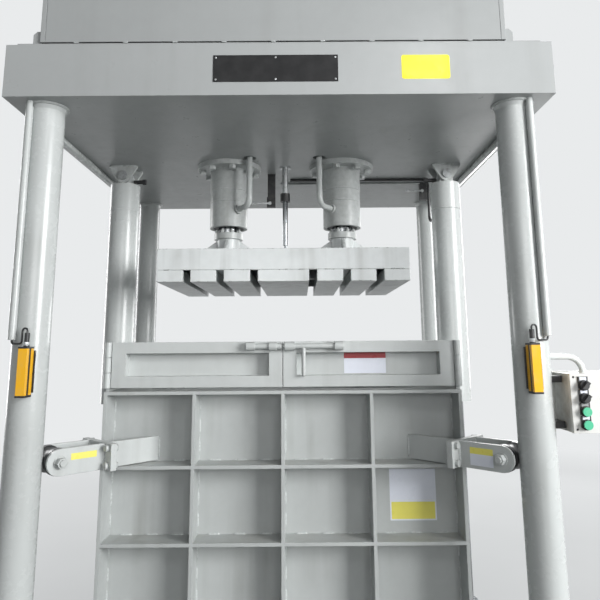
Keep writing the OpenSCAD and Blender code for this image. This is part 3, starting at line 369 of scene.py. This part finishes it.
# What each CAD node is finished with
FINISH = {
    "floor_plate": "plate",
    "base_frame": "plate",
    "bed_blocks": "platen",
    "column_front_left": "column",
    "column_front_right": "column",
    "rear_columns": "column",
    "top_beam": "beam",
    "housing_front": "sheet",
    "housing_panels": "sheet",
    "housing_roof": "sheet",
    "barrel_left": "cylinder",
    "barrel_right": "cylinder",
    "cylinder_glands": "black_steel",
    "flange_bolts": "bolt",
    "feed_pipes": "column",
    "rod_sleeve": "zinc",
    "black_fittings": "black_plastic",
    "lift_brackets": "cylinder",
    "lift_pins": "zinc",
    "lift_barrels": "column",
    "oil_tank": "inner",
    "pump_set": "inner",
    "conduits": "column",
    "curtain_bars": "yellow",
    "curtain_fittings": "black_plastic",
    "curtain_leads": "cable",
    "control_box": "cast",
    "control_panel": "white",
    "device_brackets": "black_steel",
    "switch_holders": "black_plastic",
    "box_conduit": "pipe",
    "limit_switches": "black_steel",
    "switch_wiring": "cable",
    "platen": "platen",
    "platen_blocks": "platen",
    "ram_left": "chrome",
    "ram_right": "chrome",
    "rod_clamps": "bolt",
    "guide_rod": "chrome",
    "chamber_front": "wall",
    "chamber_rear": "wall",
    "chamber_sides": "wall",
    "hopper_walls": "plate",
    "guide_arms": "plate",
    "roller_forks": "plate",
    "fork_bolts": "bolt",
    "lift_rods": "chrome",
    "door_left": "plate",
    "door_right": "plate",
    "latch_bolt": "column",
    "roller_front_left": "roller",
    "roller_front_right": "roller",
    "roller_rear_left": "roller",
    "roller_rear_right": "roller",
    "selector_upper": "black_plastic",
    "selector_lower": "black_plastic",
    "button_upper": "green",
    "button_lower": "green",
    "lever_centre": "zinc",
    "lever_right": "zinc",
}
MATERIALS = {}


def begin():
    """Object mode with nothing selected, so that the next operator acts on the new piece alone."""
    if bpy.context.object and bpy.context.object.mode != "OBJECT":
        bpy.ops.object.mode_set(mode="OBJECT")
    bpy.ops.object.select_all(action="DESELECT")


def settle(piece, name, finish):
    """Puts a piece's place into its mesh, names it and gives it its finish."""
    begin()
    piece.select_set(True)
    bpy.context.view_layer.objects.active = piece
    bpy.ops.object.transform_apply(location=True, rotation=True, scale=True)
    piece.name = piece.data.name = name
    piece.data.materials.clear()
    piece.data.materials.append(MATERIALS[finish])
    return piece


def block(centre, size, bevel=0.0, segments=2):
    """A box of that size, its edges rounded by a bevel."""
    begin()
    bpy.ops.mesh.primitive_cube_add(size=1.0, location=centre, scale=size)
    piece = bpy.context.object
    bpy.ops.object.transform_apply(location=True, rotation=True, scale=True)
    if bevel:
        bpy.ops.object.mode_set(mode="EDIT")
        bpy.ops.mesh.select_all(action="SELECT")
        bpy.ops.mesh.bevel(offset=bevel, segments=segments, affect="EDGES")
        bpy.ops.object.mode_set(mode="OBJECT")
    return piece


def pick_faces(piece, wanted):
    """Edit mode with just the wanted faces selected, whatever select mode was left before."""
    bpy.ops.object.mode_set(mode="EDIT")
    bpy.ops.mesh.select_mode(type="FACE")
    bpy.ops.mesh.select_all(action="DESELECT")
    bpy.ops.object.mode_set(mode="OBJECT")
    for face in piece.data.polygons:
        face.select = wanted(face)
    bpy.ops.object.mode_set(mode="EDIT")


def disc(centre, radius, depth, axis="Z", vertices=24, bevel=0.0):
    """A round or many-sided plug along an axis, with both rims bevelled."""
    turn = {"X": (0, math.pi / 2, 0), "Y": (math.pi / 2, 0, 0), "Z": (0, 0, 0)}[axis]
    begin()
    bpy.ops.mesh.primitive_cylinder_add(
        vertices=vertices, radius=radius, depth=depth, location=centre, rotation=turn
    )
    piece = bpy.context.object
    bpy.ops.object.transform_apply(location=True, rotation=True, scale=True)
    if bevel:
        along = "XYZ".index(axis)
        pick_faces(piece, lambda face: abs(face.normal[along]) > 0.9)
        bpy.ops.mesh.bevel(offset=bevel, segments=2, affect="EDGES")
        bpy.ops.object.mode_set(mode="OBJECT")
    begin()
    piece.select_set(True)
    bpy.context.view_layer.objects.active = piece
    bpy.ops.object.shade_smooth_by_angle(angle=math.radians(35))
    return piece


def copies(pattern, places):
    """Copies of a pattern, each with its own mesh moved by its matrix. The pattern itself goes."""
    made = []
    for matrix in places:
        twin = pattern.copy()
        twin.data = pattern.data.copy()
        twin.data.transform(matrix)
        bpy.context.scene.collection.objects.link(twin)
        made.append(twin)
    mesh = pattern.data
    bpy.data.objects.remove(pattern)
    bpy.data.meshes.remove(mesh)
    return made


def joined(pieces, name, finish, body):
    """One piece from several, riding on a body."""
    begin()
    for piece in pieces:
        piece.select_set(True)
    bpy.context.view_layer.objects.active = pieces[0]
    if len(pieces) > 1:
        bpy.ops.object.join()
    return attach(settle(bpy.context.view_layer.objects.active, name, finish), body)


def stitch_bead(radius, length, rings=7, sides=6):
    """A stitch of weld along +X: a bead drawn on ring by ring, alternately wide and narrow."""
    begin()
    bpy.ops.mesh.primitive_circle_add(
        vertices=sides, radius=radius * 0.5, fill_type="NGON", rotation=(0, math.pi / 2, 0)
    )
    piece = bpy.context.object
    bpy.ops.object.transform_apply(location=True, rotation=True, scale=True)
    bpy.ops.object.mode_set(mode="EDIT")
    bpy.ops.mesh.select_all(action="SELECT")
    step = length / rings
    swells = [1.9, *((0.82, 1.22)[i % 2] for i in range(1, rings - 1)), 0.5]
    for swell in swells:
        bpy.ops.mesh.extrude_region_move(TRANSFORM_OT_translate={"value": (step, 0, 0)})
        bpy.ops.transform.resize(value=(1, swell, swell))
    bpy.ops.mesh.select_all(action="SELECT")
    bpy.ops.mesh.normals_make_consistent(inside=False)
    bpy.ops.object.mode_set(mode="OBJECT")
    bpy.ops.object.shade_smooth()
    return piece


def ring_bead(centre, major, minor, steps=48, sides=8):
    """A smooth fillet weld round an upright tube."""
    begin()
    bpy.ops.mesh.primitive_torus_add(
        major_radius=major, minor_radius=minor, major_segments=steps, minor_segments=sides,
        location=centre,
    )
    piece = bpy.context.object
    bpy.ops.object.transform_apply(location=True, rotation=True, scale=True)
    bpy.ops.object.shade_smooth()
    return piece


def runs(start, end, count, length):
    """Places for count stitches of that length, spread evenly along a line."""
    first, last = Vector(start), Vector(end)
    way = last - first
    turn = way.to_track_quat("X", "Z").to_matrix().to_4x4()
    places = []
    for i in range(count):
        middle = first + way * (i + 0.5) / count
        places.append(Matrix.Translation(middle - way.normalized() * length / 2) @ turn)
    return places


def weld(beads, name, body):
    """Beads as one painted piece."""
    piece = joined(beads, name, "weld", body)
    return piece


def stitched(lines, name, body, leg, length):
    """Weld stitches along lines of (start, end, count), as one piece."""
    places = [place for start, end, count in lines for place in runs(start, end, count, length)]
    return weld(copies(stitch_bead(leg, length), places), name, body)


def label(centre, width, height, yaw=0.0, corner=0.003, thick=SHEET):
    """A thin upright sheet with round corners; it looks along -Y, turned by yaw about Z."""
    begin()
    bpy.ops.mesh.primitive_plane_add(size=1.0)
    piece = bpy.context.object
    piece.scale = (width, height, 1)
    bpy.ops.object.transform_apply(location=True, rotation=True, scale=True)
    bpy.ops.object.mode_set(mode="EDIT")
    bpy.ops.mesh.select_all(action="SELECT")
    bpy.ops.mesh.bevel(offset=corner, segments=5, affect="VERTICES")
    bpy.ops.mesh.select_all(action="SELECT")
    bpy.ops.mesh.extrude_region_move(TRANSFORM_OT_translate={"value": (0, 0, thick)})
    bpy.ops.mesh.select_all(action="SELECT")
    bpy.ops.mesh.normals_make_consistent(inside=False)
    bpy.ops.object.mode_set(mode="OBJECT")
    turn = Matrix.Rotation(yaw, 4, "Z") @ Matrix.Rotation(math.pi / 2, 4, "X")
    piece.data.transform(Matrix.Translation(centre) @ turn)
    return piece


def stick(name, finish, body, slot, *sheets):
    """Labels of one colour as one piece, each given as for label()."""
    piece = joined([label(*sheet) for sheet in sheets], name, finish, body)
    return piece


def bent_plate(axis, radius, facing, width, height, thick=0.0008):
    """A thin plate bent round an upright tube, its middle turned by facing from -Y."""
    begin()
    bpy.ops.mesh.primitive_cylinder_add(
        vertices=144, radius=radius, depth=height, location=axis, end_fill_type="NOTHING"
    )
    piece = bpy.context.object
    bpy.ops.object.transform_apply(location=True, rotation=True, scale=True)
    ahead = Vector((math.sin(facing), -math.cos(facing), 0))
    edge = math.cos(width / radius / 2)
    pick_faces(piece, lambda face: face.normal.dot(ahead) < edge)
    bpy.ops.mesh.delete(type="FACE")
    bpy.ops.mesh.select_all(action="SELECT")
    bpy.ops.mesh.extrude_region_move()
    grow = 1 + thick / radius
    bpy.ops.transform.resize(value=(grow, grow, 1), center_override=axis)
    bpy.ops.mesh.select_all(action="SELECT")
    bpy.ops.mesh.normals_make_consistent(inside=False)
    bpy.ops.object.mode_set(mode="OBJECT")
    bpy.ops.object.shade_smooth_by_angle(angle=math.radians(35))
    return piece


def rivet(place, radius=0.0035, rise=0.0015):
    """A domed rivet head on a face that looks along -Y."""
    begin()
    bpy.ops.mesh.primitive_uv_sphere_add(segments=16, ring_count=8, radius=radius, location=place)
    piece = bpy.context.object
    piece.scale = (1, rise / radius, 1)
    bpy.ops.object.transform_apply(location=True, rotation=True, scale=True)
    bpy.ops.object.shade_smooth()
    return piece


def slotted_screw(place, radius=0.0031):
    """A cheese-head screw with its slot, on a face that looks along -Y."""
    height, soft = 0.002, 0.0004
    head = disc(place, radius, height, "Y", 20, soft)
    bar = block(place + Vector((0, -0.0009, 0)), (radius * 1.6, 0.0004, 0.0008), 0.0001, 1)
    begin()
    head.select_set(True)
    bar.select_set(True)
    bpy.context.view_layer.objects.active = head
    bpy.ops.object.join()
    return head


def corners():
    """The four corners of the machine: sign of x, sign of y."""
    return [(x, y) for x in (-1, 1) for y in (-1, 1)]


def by_column(x_sign, y_sign, t, s, z):
    """A point t along the way from a column's axis to the chamber, and s to its side."""
    half = math.sqrt(0.5)
    return Vector((x_sign * (COLUMN_X - half * (t - s)), y_sign * (COLUMN_Y - half * (t + s)), z))


class BalerFinishSettings(bpy.types.PropertyGroup):
    enamel: FloatVectorProperty(
        name="Enamel", description="Light grey of the machine", subtype="COLOR", size=3,
        min=0.0, max=1.0, default=linear("BEC2C1"),
    )
    guard: FloatVectorProperty(
        name="Guard yellow", description="Yellow of the light curtains", subtype="COLOR", size=3,
        min=0.0, max=1.0, default=linear("F2B51B"),
    )
    button: FloatVectorProperty(
        name="Button green", description="Green of the push buttons", subtype="COLOR", size=3,
        min=0.0, max=1.0, default=linear("57BD94"),
    )


class BalerSignSettings(bpy.types.PropertyGroup):
    plate_width: FloatProperty(
        name="Plate width", description="Width of the riveted plate", unit="LENGTH", default=0.414
    )
    plate_height: FloatProperty(
        name="Plate height", description="Height of the riveted plate", unit="LENGTH", default=0.095
    )
    corner: FloatProperty(
        name="Corner", description="Corner radius of the stickers", unit="LENGTH", default=0.004
    )


class BalerWeldSettings(bpy.types.PropertyGroup):
    leg: FloatProperty(
        name="Leg", description="Leg of the fillet welds", unit="LENGTH", default=0.006
    )
    stitches: IntProperty(
        name="Stitches", description="Stitches along one side of a rib cell",
        min=1, max=6, default=3,
    )


class BalerCameraSettings(bpy.types.PropertyGroup):
    place: FloatVectorProperty(
        name="Place", description="Where the camera stands", subtype="TRANSLATION", size=3,
        unit="LENGTH", default=(0.0613, -2.5718, 1.4483),
    )
    heading: FloatProperty(
        name="Heading", description="Turn about the vertical", subtype="ANGLE",
        default=math.radians(-0.104),
    )
    pitch: FloatProperty(
        name="Pitch", description="How far the camera looks up", subtype="ANGLE",
        default=math.radians(9.997),
    )
    roll: FloatProperty(
        name="Roll", description="Turn about the view's own axis", subtype="ANGLE",
        default=math.radians(-0.421),
    )
    focal_px: FloatProperty(
        name="Focal length", description="Focal length in pixels of the image", default=578.0
    )
    centre_y: FloatProperty(
        name="Centre row", description="Row of the image that the view's axis meets", default=244.6
    )


class BALER_OT_camera(bpy.types.Operator):
    """Set the camera where a person stands in front of the feed doors"""

    bl_idname = "baler.camera"
    bl_label = "Camera"

    def execute(self, context):
        settings = context.scene.baler_camera
        lens = bpy.data.cameras.new("Camera")
        lens.sensor_width = 36.0
        lens.lens = settings.focal_px / IMAGE_SIZE * lens.sensor_width
        lens.shift_y = (settings.centre_y - IMAGE_SIZE / 2) / IMAGE_SIZE
        lens.clip_start, lens.clip_end = 0.05, 100.0
        camera = bpy.data.objects.new("Camera", lens)
        context.scene.collection.objects.link(camera)
        turn = (
            Matrix.Rotation(settings.heading, 4, "Z")
            @ Matrix.Rotation(math.pi / 2 + settings.pitch, 4, "X")
            @ Matrix.Rotation(settings.roll, 4, "Z")
        )
        camera.matrix_world = Matrix.Translation(settings.place) @ turn
        context.scene.camera = camera
        return {"FINISHED"}


class BALER_OT_stage(bpy.types.Operator):
    """Lay a plain pale floor and hang soft lamps round the machine"""

    bl_idname = "baler.stage"
    bl_label = "Floor and Lamps"

    def execute(self, context):
        begin()
        bpy.ops.mesh.primitive_plane_add(size=120.0, location=(0, 0, 0))
        floor = bpy.context.object
        floor.name = "studio_floor"
        floor.data.materials.append(self.pale_floor())
        context.scene.world = self.pale_world()
        target = Vector((0.0, 0.0, 1.55))
        lamps = (
            ("Key", (4.4, -3.8, 2.5), (2.4, 2.4), 395.0),
            ("Front", (0.2, -6.4, 2.2), (3.0, 1.6), 62.0),
            ("Window", (1.5, -4.9, 4.4), (0.5, 0.9), 28.0),
            ("Rim right", (2.8, 4.2, 2.6), (1.4, 3.4), 120.0),
            ("Rim left", (-4.2, 2.6, 2.4), (1.4, 3.4), 110.0),
            ("Top", (0.5, 0.9, 7.2), (2.2, 2.2), 150.0),
        )
        for name, place, size, power in lamps:
            data = bpy.data.lights.new(name, "AREA")
            data.shape = "RECTANGLE"
            data.size, data.size_y = size
            data.energy = power
            lamp = bpy.data.objects.new(name, data)
            lamp.location = place
            lamp.rotation_mode = "QUATERNION"
            lamp.rotation_quaternion = (target - Vector(place)).to_track_quat("-Z", "Y")
            context.scene.collection.objects.link(lamp)
        view = context.scene.view_settings
        view.view_transform = "Standard"
        return {"FINISHED"}

    def seen(self, tree):
        """1 for rays that see the backdrop straight, in a gloss or through glass."""
        path = add(tree, "ShaderNodeLightPath")
        first = {0: path.outputs["Is Camera Ray"], 1: path.outputs["Is Glossy Ray"]}
        either = add(tree, "ShaderNodeMath", first, operation="MAXIMUM").outputs[0]
        last = {0: either, 1: path.outputs["Is Transmission Ray"]}
        return add(tree, "ShaderNodeMath", last, operation="MAXIMUM").outputs[0]

    def pale_floor(self):
        """Matt painted screed, dark to the light it throws back and pale to the eye. What the
        eye sees of it fades into the backdrop with distance."""
        made = bpy.data.materials.new("Pale floor")
        made.use_nodes = True
        tree = made.node_tree
        tree.nodes.clear()
        place = add(tree, "ShaderNodeTexCoord").outputs["Object"]
        cloud = patches(tree, place, 900, 0.3, 0.7)
        tone = layer(tree, cloud, 1.0, linear("9A9C9C"), linear("A4A6A6"))
        seen = self.seen(tree)
        tone = layer(tree, seen, 1.0, linear("626464"), tone)
        matt = add(tree, "ShaderNodeBsdfDiffuse", {"Color": tone})
        pale = add(tree, "ShaderNodeEmission", {"Color": linear(BACKDROP), "Strength": 1.0})
        away = add(tree, "ShaderNodeVectorMath", {0: place}, operation="LENGTH").outputs["Value"]
        near_m, far_m, near_share = 1.5, 7.0, 0.5
        rise = {0: away, 1: near_m, 2: far_m, 3: near_share, 4: 1.0}
        fade = add(tree, "ShaderNodeMapRange", rise, clamp=True)
        share = where_all(tree, seen, fade.outputs[0])
        both = add(tree, "ShaderNodeMixShader", {0: share, 1: matt.outputs[0], 2: pale.outputs[0]})
        add(tree, "ShaderNodeOutputMaterial", {"Surface": both.outputs[0]})
        return made

    def pale_world(self):
        """Dim even light on the machine, and a pale backdrop for the eye and for reflections."""
        world = bpy.data.worlds.new("Studio")
        world.use_nodes = True
        tree = world.node_tree
        tree.nodes.clear()
        dim = add(tree, "ShaderNodeBackground", {"Color": (0.94, 0.97, 1.0), "Strength": 0.19})
        pale = add(tree, "ShaderNodeBackground", {"Color": linear(BACKDROP), "Strength": 1.0})
        mixed = {0: self.seen(tree), 1: dim.outputs[0], 2: pale.outputs[0]}
        both = add(tree, "ShaderNodeMixShader", mixed)
        add(tree, "ShaderNodeOutputWorld", {"Surface": both.outputs[0]})
        return world


class BALER_OT_finishes(bpy.types.Operator):
    """Make every finish and paint the machine's own pieces with them"""

    bl_idname = "baler.finishes"
    bl_label = "Finishes"

    def execute(self, context):
        MATERIALS.update(make_materials(context.scene.baler_finish))
        for name, node in NODES.items():
            node.data.materials.clear()
            node.data.materials.append(MATERIALS[FINISH[name]])
        return {"FINISHED"}


class BALER_OT_signs(bpy.types.Operator):
    """Rivet and stick the blank signs on the beam, the right door, the chamber and the forks"""

    bl_idname = "baler.signs"
    bl_label = "Blank Signs"

    def execute(self, context):
        settings = context.scene.baler_sign
        corner = settings.corner
        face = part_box("top_beam")[0].y
        width, height = settings.plate_width, settings.plate_height
        middle, thick, inset = Vector((-0.012, face, 2.355)), 0.0016, 0.009
        plate = block(middle + Vector((0, -thick / 2, 0)), (width, thick, height), 0.0005, 1)
        joined([plate], "sign_plate", "sign_black", "frame")
        heads = [
            rivet(middle + Vector((x * (width / 2 - inset), -thick, z * (height / 2 - inset))))
            for x in (-1, 0, 1)
            for z in (-1, 1)
        ]
        joined(heads, "sign_rivets", "zinc", "frame")
        stick(
            "beam_sticker", "vinyl_yellow", "frame", "yellow_paint",
            ((0.485, face - PROUD, 2.3575), 0.160, 0.085, 0.0, corner * 2),
        )
        door = -(0.399 + PROUD)
        stick(
            "door_sticker", "vinyl_white", "door_right", "panel_white",
            ((0.301, door, 1.3775), 0.154, 0.054, 0.0, corner / 4),
        )
        stick(
            "door_sticker_band", "vinyl_red", "door_right", "panel_white",
            ((0.301, door, 1.4150), 0.154, 0.021, 0.0, corner / 4),
        )
        wall = -(WALL_FACE + PROUD)
        stick(
            "chamber_sticker", "vinyl_white", "chamber", "panel_white",
            ((0.4665, wall, 0.9190), 0.167, 0.176, 0.0, corner / 2),
        )
        stick(
            "chamber_sticker_field", "vinyl_pale", "chamber", "yellow_paint",
            ((0.4665, wall - SHEET, 0.8650), 0.157, 0.058, 0.0, corner / 4),
        )
        # The left lift cylinder carries a small plate under its paint
        tube_face, facing = 0.0651, math.radians(12)
        painted = bent_plate(Vector((-LIFT_X, 0, 2.031)), tube_face, facing, 0.065, 0.047)
        joined([painted], "cylinder_plate", "column", "frame")
        out = 0.0601  # from a fork's middle to the back of its stickers
        yaw = math.radians(45)
        stick(
            "fork_stickers_yellow", "vinyl_pale", "chamber", "yellow_paint",
            (by_column(-1, -1, 0.169, -out, 1.1080), 0.086, 0.020, yaw, corner / 4),
            (by_column(1, -1, 0.160, -out, 1.1105), 0.080, 0.020, -yaw, corner / 4),
        )
        stick(
            "fork_sticker_white", "vinyl_white", "chamber", "panel_white",
            (by_column(1, -1, 0.160, -out, 1.0825), 0.080, 0.036, -yaw, corner / 4),
        )
        return {"FINISHED"}


class BALER_OT_controls(bpy.types.Operator):
    """Add the label fields and screws of the control panel and the light curtains' plugs"""

    bl_idname = "baler.controls"
    bl_label = "Control Trim"

    def execute(self, context):
        low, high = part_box("control_panel")
        edge, seat = 0.011, 0.003  # the screws' place and depth in the panel
        screws = [
            slotted_screw(Vector((x, low.y + seat, z)))
            for x in (low.x + edge, high.x - edge)
            for z in (low.z + edge, high.z - edge)
        ]
        joined(screws, "panel_screws", "black_steel", "frame")
        plates_low, plates_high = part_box("switch_holders")
        middle = (plates_low.x + plates_high.x) / 2
        face = low.y - 0.0041  # just off the front of the legend plates
        legend = 0.0195  # from a switch's middle up to its legend field
        rows = [SWITCH_Z + i * SWITCH_PITCH + legend for i in range(4)]
        fields = [((middle, face, z), 0.021, 0.010, 0.0, 0.0008) for z in rows]
        stick("switch_labels", "vinyl_white", "frame", "panel_white", *(fields[:1] + fields[2:]))
        stick("switch_label_grey", "vinyl_grey", "frame", "panel_white", fields[1])
        nuts, fixings = [], []
        for side in (-1, 1):
            # A hexagon nut on a thin washer round each plug, two screws beside it
            x, y = side * CURTAIN_X, CURTAIN_Y - CURTAIN_DEPTH / 2
            nuts.append(disc((x, y, CURTAIN_TOP + 0.009), 0.0085, 0.010, "Z", 6, 0.0008))
            nuts.append(disc((x, y, CURTAIN_TOP + 0.0035), 0.0098, 0.001, "Z", 24, 0.0002))
            outer = side * (CURTAIN_X + 0.024)  # middle of the back plate's outer edge
            for drop in (0.030, 0.121):
                place = Vector((outer, CURTAIN_Y - 0.001, CURTAIN_TOP - drop))
                fixings.append(slotted_screw(place, 0.004))
        joined(nuts, "plug_nuts", "zinc", "frame")
        joined(fixings, "curtain_screws", "zinc", "frame")
        return {"FINISHED"}


class BALER_OT_chamber_welds(bpy.types.Operator):
    """Lay the stitch welds of the chamber's rib cells, its roller arms and the latch"""

    bl_idname = "baler.chamber_welds"
    bl_label = "Chamber Welds"

    def execute(self, context):
        settings = context.scene.baler_weld
        count = settings.stitches
        for name, side in (("chamber_front", -1), ("chamber_rear", 1)):
            low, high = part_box(name)
            face = side * WALL_FACE
            across = (high.x - low.x - RIB) / 4
            up = (high.z - low.z - RIB) / 4
            lines = []
            for i in range(4):
                left, right = low.x + i * across + RIB, low.x + (i + 1) * across
                for j in range(4):
                    floor, roof = low.z + j * up + RIB, low.z + (j + 1) * up
                    for x in (left, right):
                        start, end = (x, face, floor + CLEAR), (x, face, roof - CLEAR)
                        lines.append((start, end, count))
                    start, end = (left + CLEAR, face, floor), (right - CLEAR, face, floor)
                    lines.append((start, end, count))
            stitched(lines, name + "_stitches", "chamber", settings.leg * 0.75, STITCH)
        self.side_cells(settings)
        self.arms(settings)
        latch_z, latch_y = 1.4415, -0.4458  # the back of the latch's sleeves
        for body, spans in (
            ("door_left", ((-0.131, -0.100), (-0.050, -0.021))),
            ("door_right", ((0.007, 0.043), (0.187, 0.218))),
        ):
            lines = [((a, latch_y, latch_z), (b, latch_y, latch_z), 1) for a, b in spans]
            stitched(lines, body + "_latch_welds", body, 0.003, 0.027)
        return {"FINISHED"}

    def arms(self, settings):
        """Upright welds of the four roller arms: on the forks, the end plates and the wall."""
        half, drop = 0.038, 0.008  # half a weld's height, and how much lower the arms sit
        fork_faces, arm_faces = (-0.06, -0.05, 0.05, 0.06), (-0.007, 0.007)
        foot_sides = (-0.01, 0.01)
        fork_back, plate_back = FORK_REACH - 0.001, FORK_REACH + 0.0205
        low, high = ROLLER_Z - half, ROLLER_Z + half
        lines = []
        for x, y in corners():
            for s in fork_faces:
                start, end = (by_column(x, y, fork_back, s, z) for z in (low, high))
                lines.append((start, end, 1))
            for s in arm_faces:
                start, end = (by_column(x, y, plate_back, s, z - drop) for z in (low, high))
                lines.append((start, end, 1))
            for shift in foot_sides:
                foot = x * (COLUMN_X - COLUMN_Y + WALL_FACE + shift)
                start, end = ((foot, y * WALL_FACE, z - drop) for z in (low, high))
                lines.append((start, end, 1))
        stitched(lines, "arm_welds", "chamber", settings.leg * 0.7, 0.072)

    def side_cells(self, settings):
        """Stitches in the three bays of each side wall."""
        low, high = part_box("chamber_sides")
        bay = (high.y - low.y - RIB) / 3
        up = (high.z - low.z - RIB) / 4
        lines = []
        for side in (-1, 1):
            face = side * SIDE_FACE
            for i in range(3):
                near, far = low.y + i * bay + RIB, low.y + (i + 1) * bay
                for j in range(4):
                    floor, roof = low.z + j * up + RIB, low.z + (j + 1) * up
                    for y in (near, far):
                        lines.append(((face, y, floor + CLEAR), (face, y, roof - CLEAR), 2))
        stitched(lines, "chamber_side_stitches", "chamber", settings.leg * 0.75, STITCH)


class BALER_OT_press_welds(bpy.types.Operator):
    """Lay the welds round the platen's bosses and along their gussets"""

    bl_idname = "baler.press_welds"
    bl_label = "Press Welds"

    def execute(self, context):
        leg = context.scene.baler_weld.leg
        top, boss = PLATEN_TOP, 0.050  # level of the plate and radius of its bosses
        half, tip = 0.006, 0.012  # half a gusset's thickness, and its bare end
        rings = [
            ring_bead((x, 0, top + 0.001), boss + 0.001, leg * 0.5) for x in (-PRESS_X, PRESS_X)
        ]
        weld(rings, "boss_welds", "press")
        lines = []
        for x in (-PRESS_X, PRESS_X):
            for side in (-half, half):
                for end in (-1, 1):
                    near, far = (boss + CLEAR) * end, (boss + GUSSET - tip) * end
                    lines.append(((x + near, side, top), (x + far, side, top), 2))
                    lines.append(((x + side, near, top), (x + side, far, top), 2))
        stitched(lines, "gusset_welds", "press", leg * 0.6, 0.040)
        return {"FINISHED"}


class BALER_OT_frame_welds(bpy.types.Operator):
    """Lay the welds of the columns, the cylinders, the hanging ears and the housing seam"""

    bl_idname = "baler.frame_welds"
    bl_label = "Frame Welds"

    def execute(self, context):
        leg = context.scene.baler_weld.leg
        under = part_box("top_beam")[0].z
        collar, base_top = 0.068, 0.200
        rings = [
            ring_bead((x * COLUMN_X, y * COLUMN_Y, z), collar, leg * 0.45)
            for z in (under - 0.0015, base_top + 0.0015)
            for x, y in corners()
        ]
        weld(rings, "column_welds", "frame")
        # Height, radius and share of the leg of the rings on the two kinds of cylinder
        press_rings = ((2.145, 0.0845, 0.35), (under - 0.0225, 0.0865, 0.6), (2.092, 0.084, 0.3))
        lift_rings = ((2.057, 0.065, 0.28), (2.1775, 0.0635, 0.35))
        for side, x in (("left", -PRESS_X), ("right", PRESS_X)):
            rings = [ring_bead((x, 0, z), radius, leg * share) for z, radius, share in press_rings]
            weld(rings, "barrel_welds_" + side, "frame")
        rings = [
            ring_bead((x, 0, z), radius, leg * share)
            for x in (-LIFT_X, LIFT_X)
            for z, radius, share in lift_rings
        ]
        weld(rings, "lift_barrel_welds", "frame")
        sheet, seam_z = -0.7885, 2.4525  # in the open seam under the housing's front sheet
        seam = [((-0.76, sheet, seam_z), (0.72, sheet, seam_z), 9)]
        stitched(seam, "housing_stitches", "frame", 0.0022, 0.018)
        ears, face, reach = [], 0.051, 0.058  # outside of the hanging ears, half their width
        for x in (-LIFT_X, LIFT_X):
            for y in (-face, face):
                start, end = (x - reach, y, under - 0.001), (x + reach, y, under - 0.001)
                ears.append((start, end, 2))
        stitched(ears, "ear_welds", "frame", leg * 0.6, 0.052)
        return {"FINISHED"}


# The order in which the operators are called and listed
STEPS = (
    "camera", "stage", "finishes", "signs", "controls",
    "chamber_welds", "press_welds", "frame_welds",
)


class BALER_PT_panel(bpy.types.Panel):
    """The dressing's steps in the 3D view's sidebar"""

    bl_label = "Baler Dressing"
    bl_idname = "BALER_PT_panel"
    bl_space_type = "VIEW_3D"
    bl_region_type = "UI"
    bl_category = "Baler"

    def draw(self, context):
        for group in ("baler_finish", "baler_sign", "baler_weld", "baler_camera"):
            settings = getattr(context.scene, group)
            box = self.layout.box()
            for name in settings.__annotations__:
                box.prop(settings, name)
        for name in STEPS:
            self.layout.operator("baler." + name)


CLASSES = (
    BalerFinishSettings,
    BalerSignSettings,
    BalerWeldSettings,
    BalerCameraSettings,
    BALER_OT_camera,
    BALER_OT_stage,
    BALER_OT_finishes,
    BALER_OT_signs,
    BALER_OT_controls,
    BALER_OT_chamber_welds,
    BALER_OT_press_welds,
    BALER_OT_frame_welds,
    BALER_PT_panel,
)


def register():
    for made in CLASSES:
        bpy.utils.register_class(made)
    bpy.types.Scene.baler_finish = PointerProperty(type=BalerFinishSettings)
    bpy.types.Scene.baler_sign = PointerProperty(type=BalerSignSettings)
    bpy.types.Scene.baler_weld = PointerProperty(type=BalerWeldSettings)
    bpy.types.Scene.baler_camera = PointerProperty(type=BalerCameraSettings)


def unregister():
    for name in ("baler_finish", "baler_sign", "baler_weld", "baler_camera"):
        delattr(bpy.types.Scene, name)
    for made in reversed(CLASSES):
        bpy.utils.unregister_class(made)


def main():
    register()
    for name in STEPS:
        getattr(bpy.ops.baler, name)()


if __name__ == "__main__":
    main()
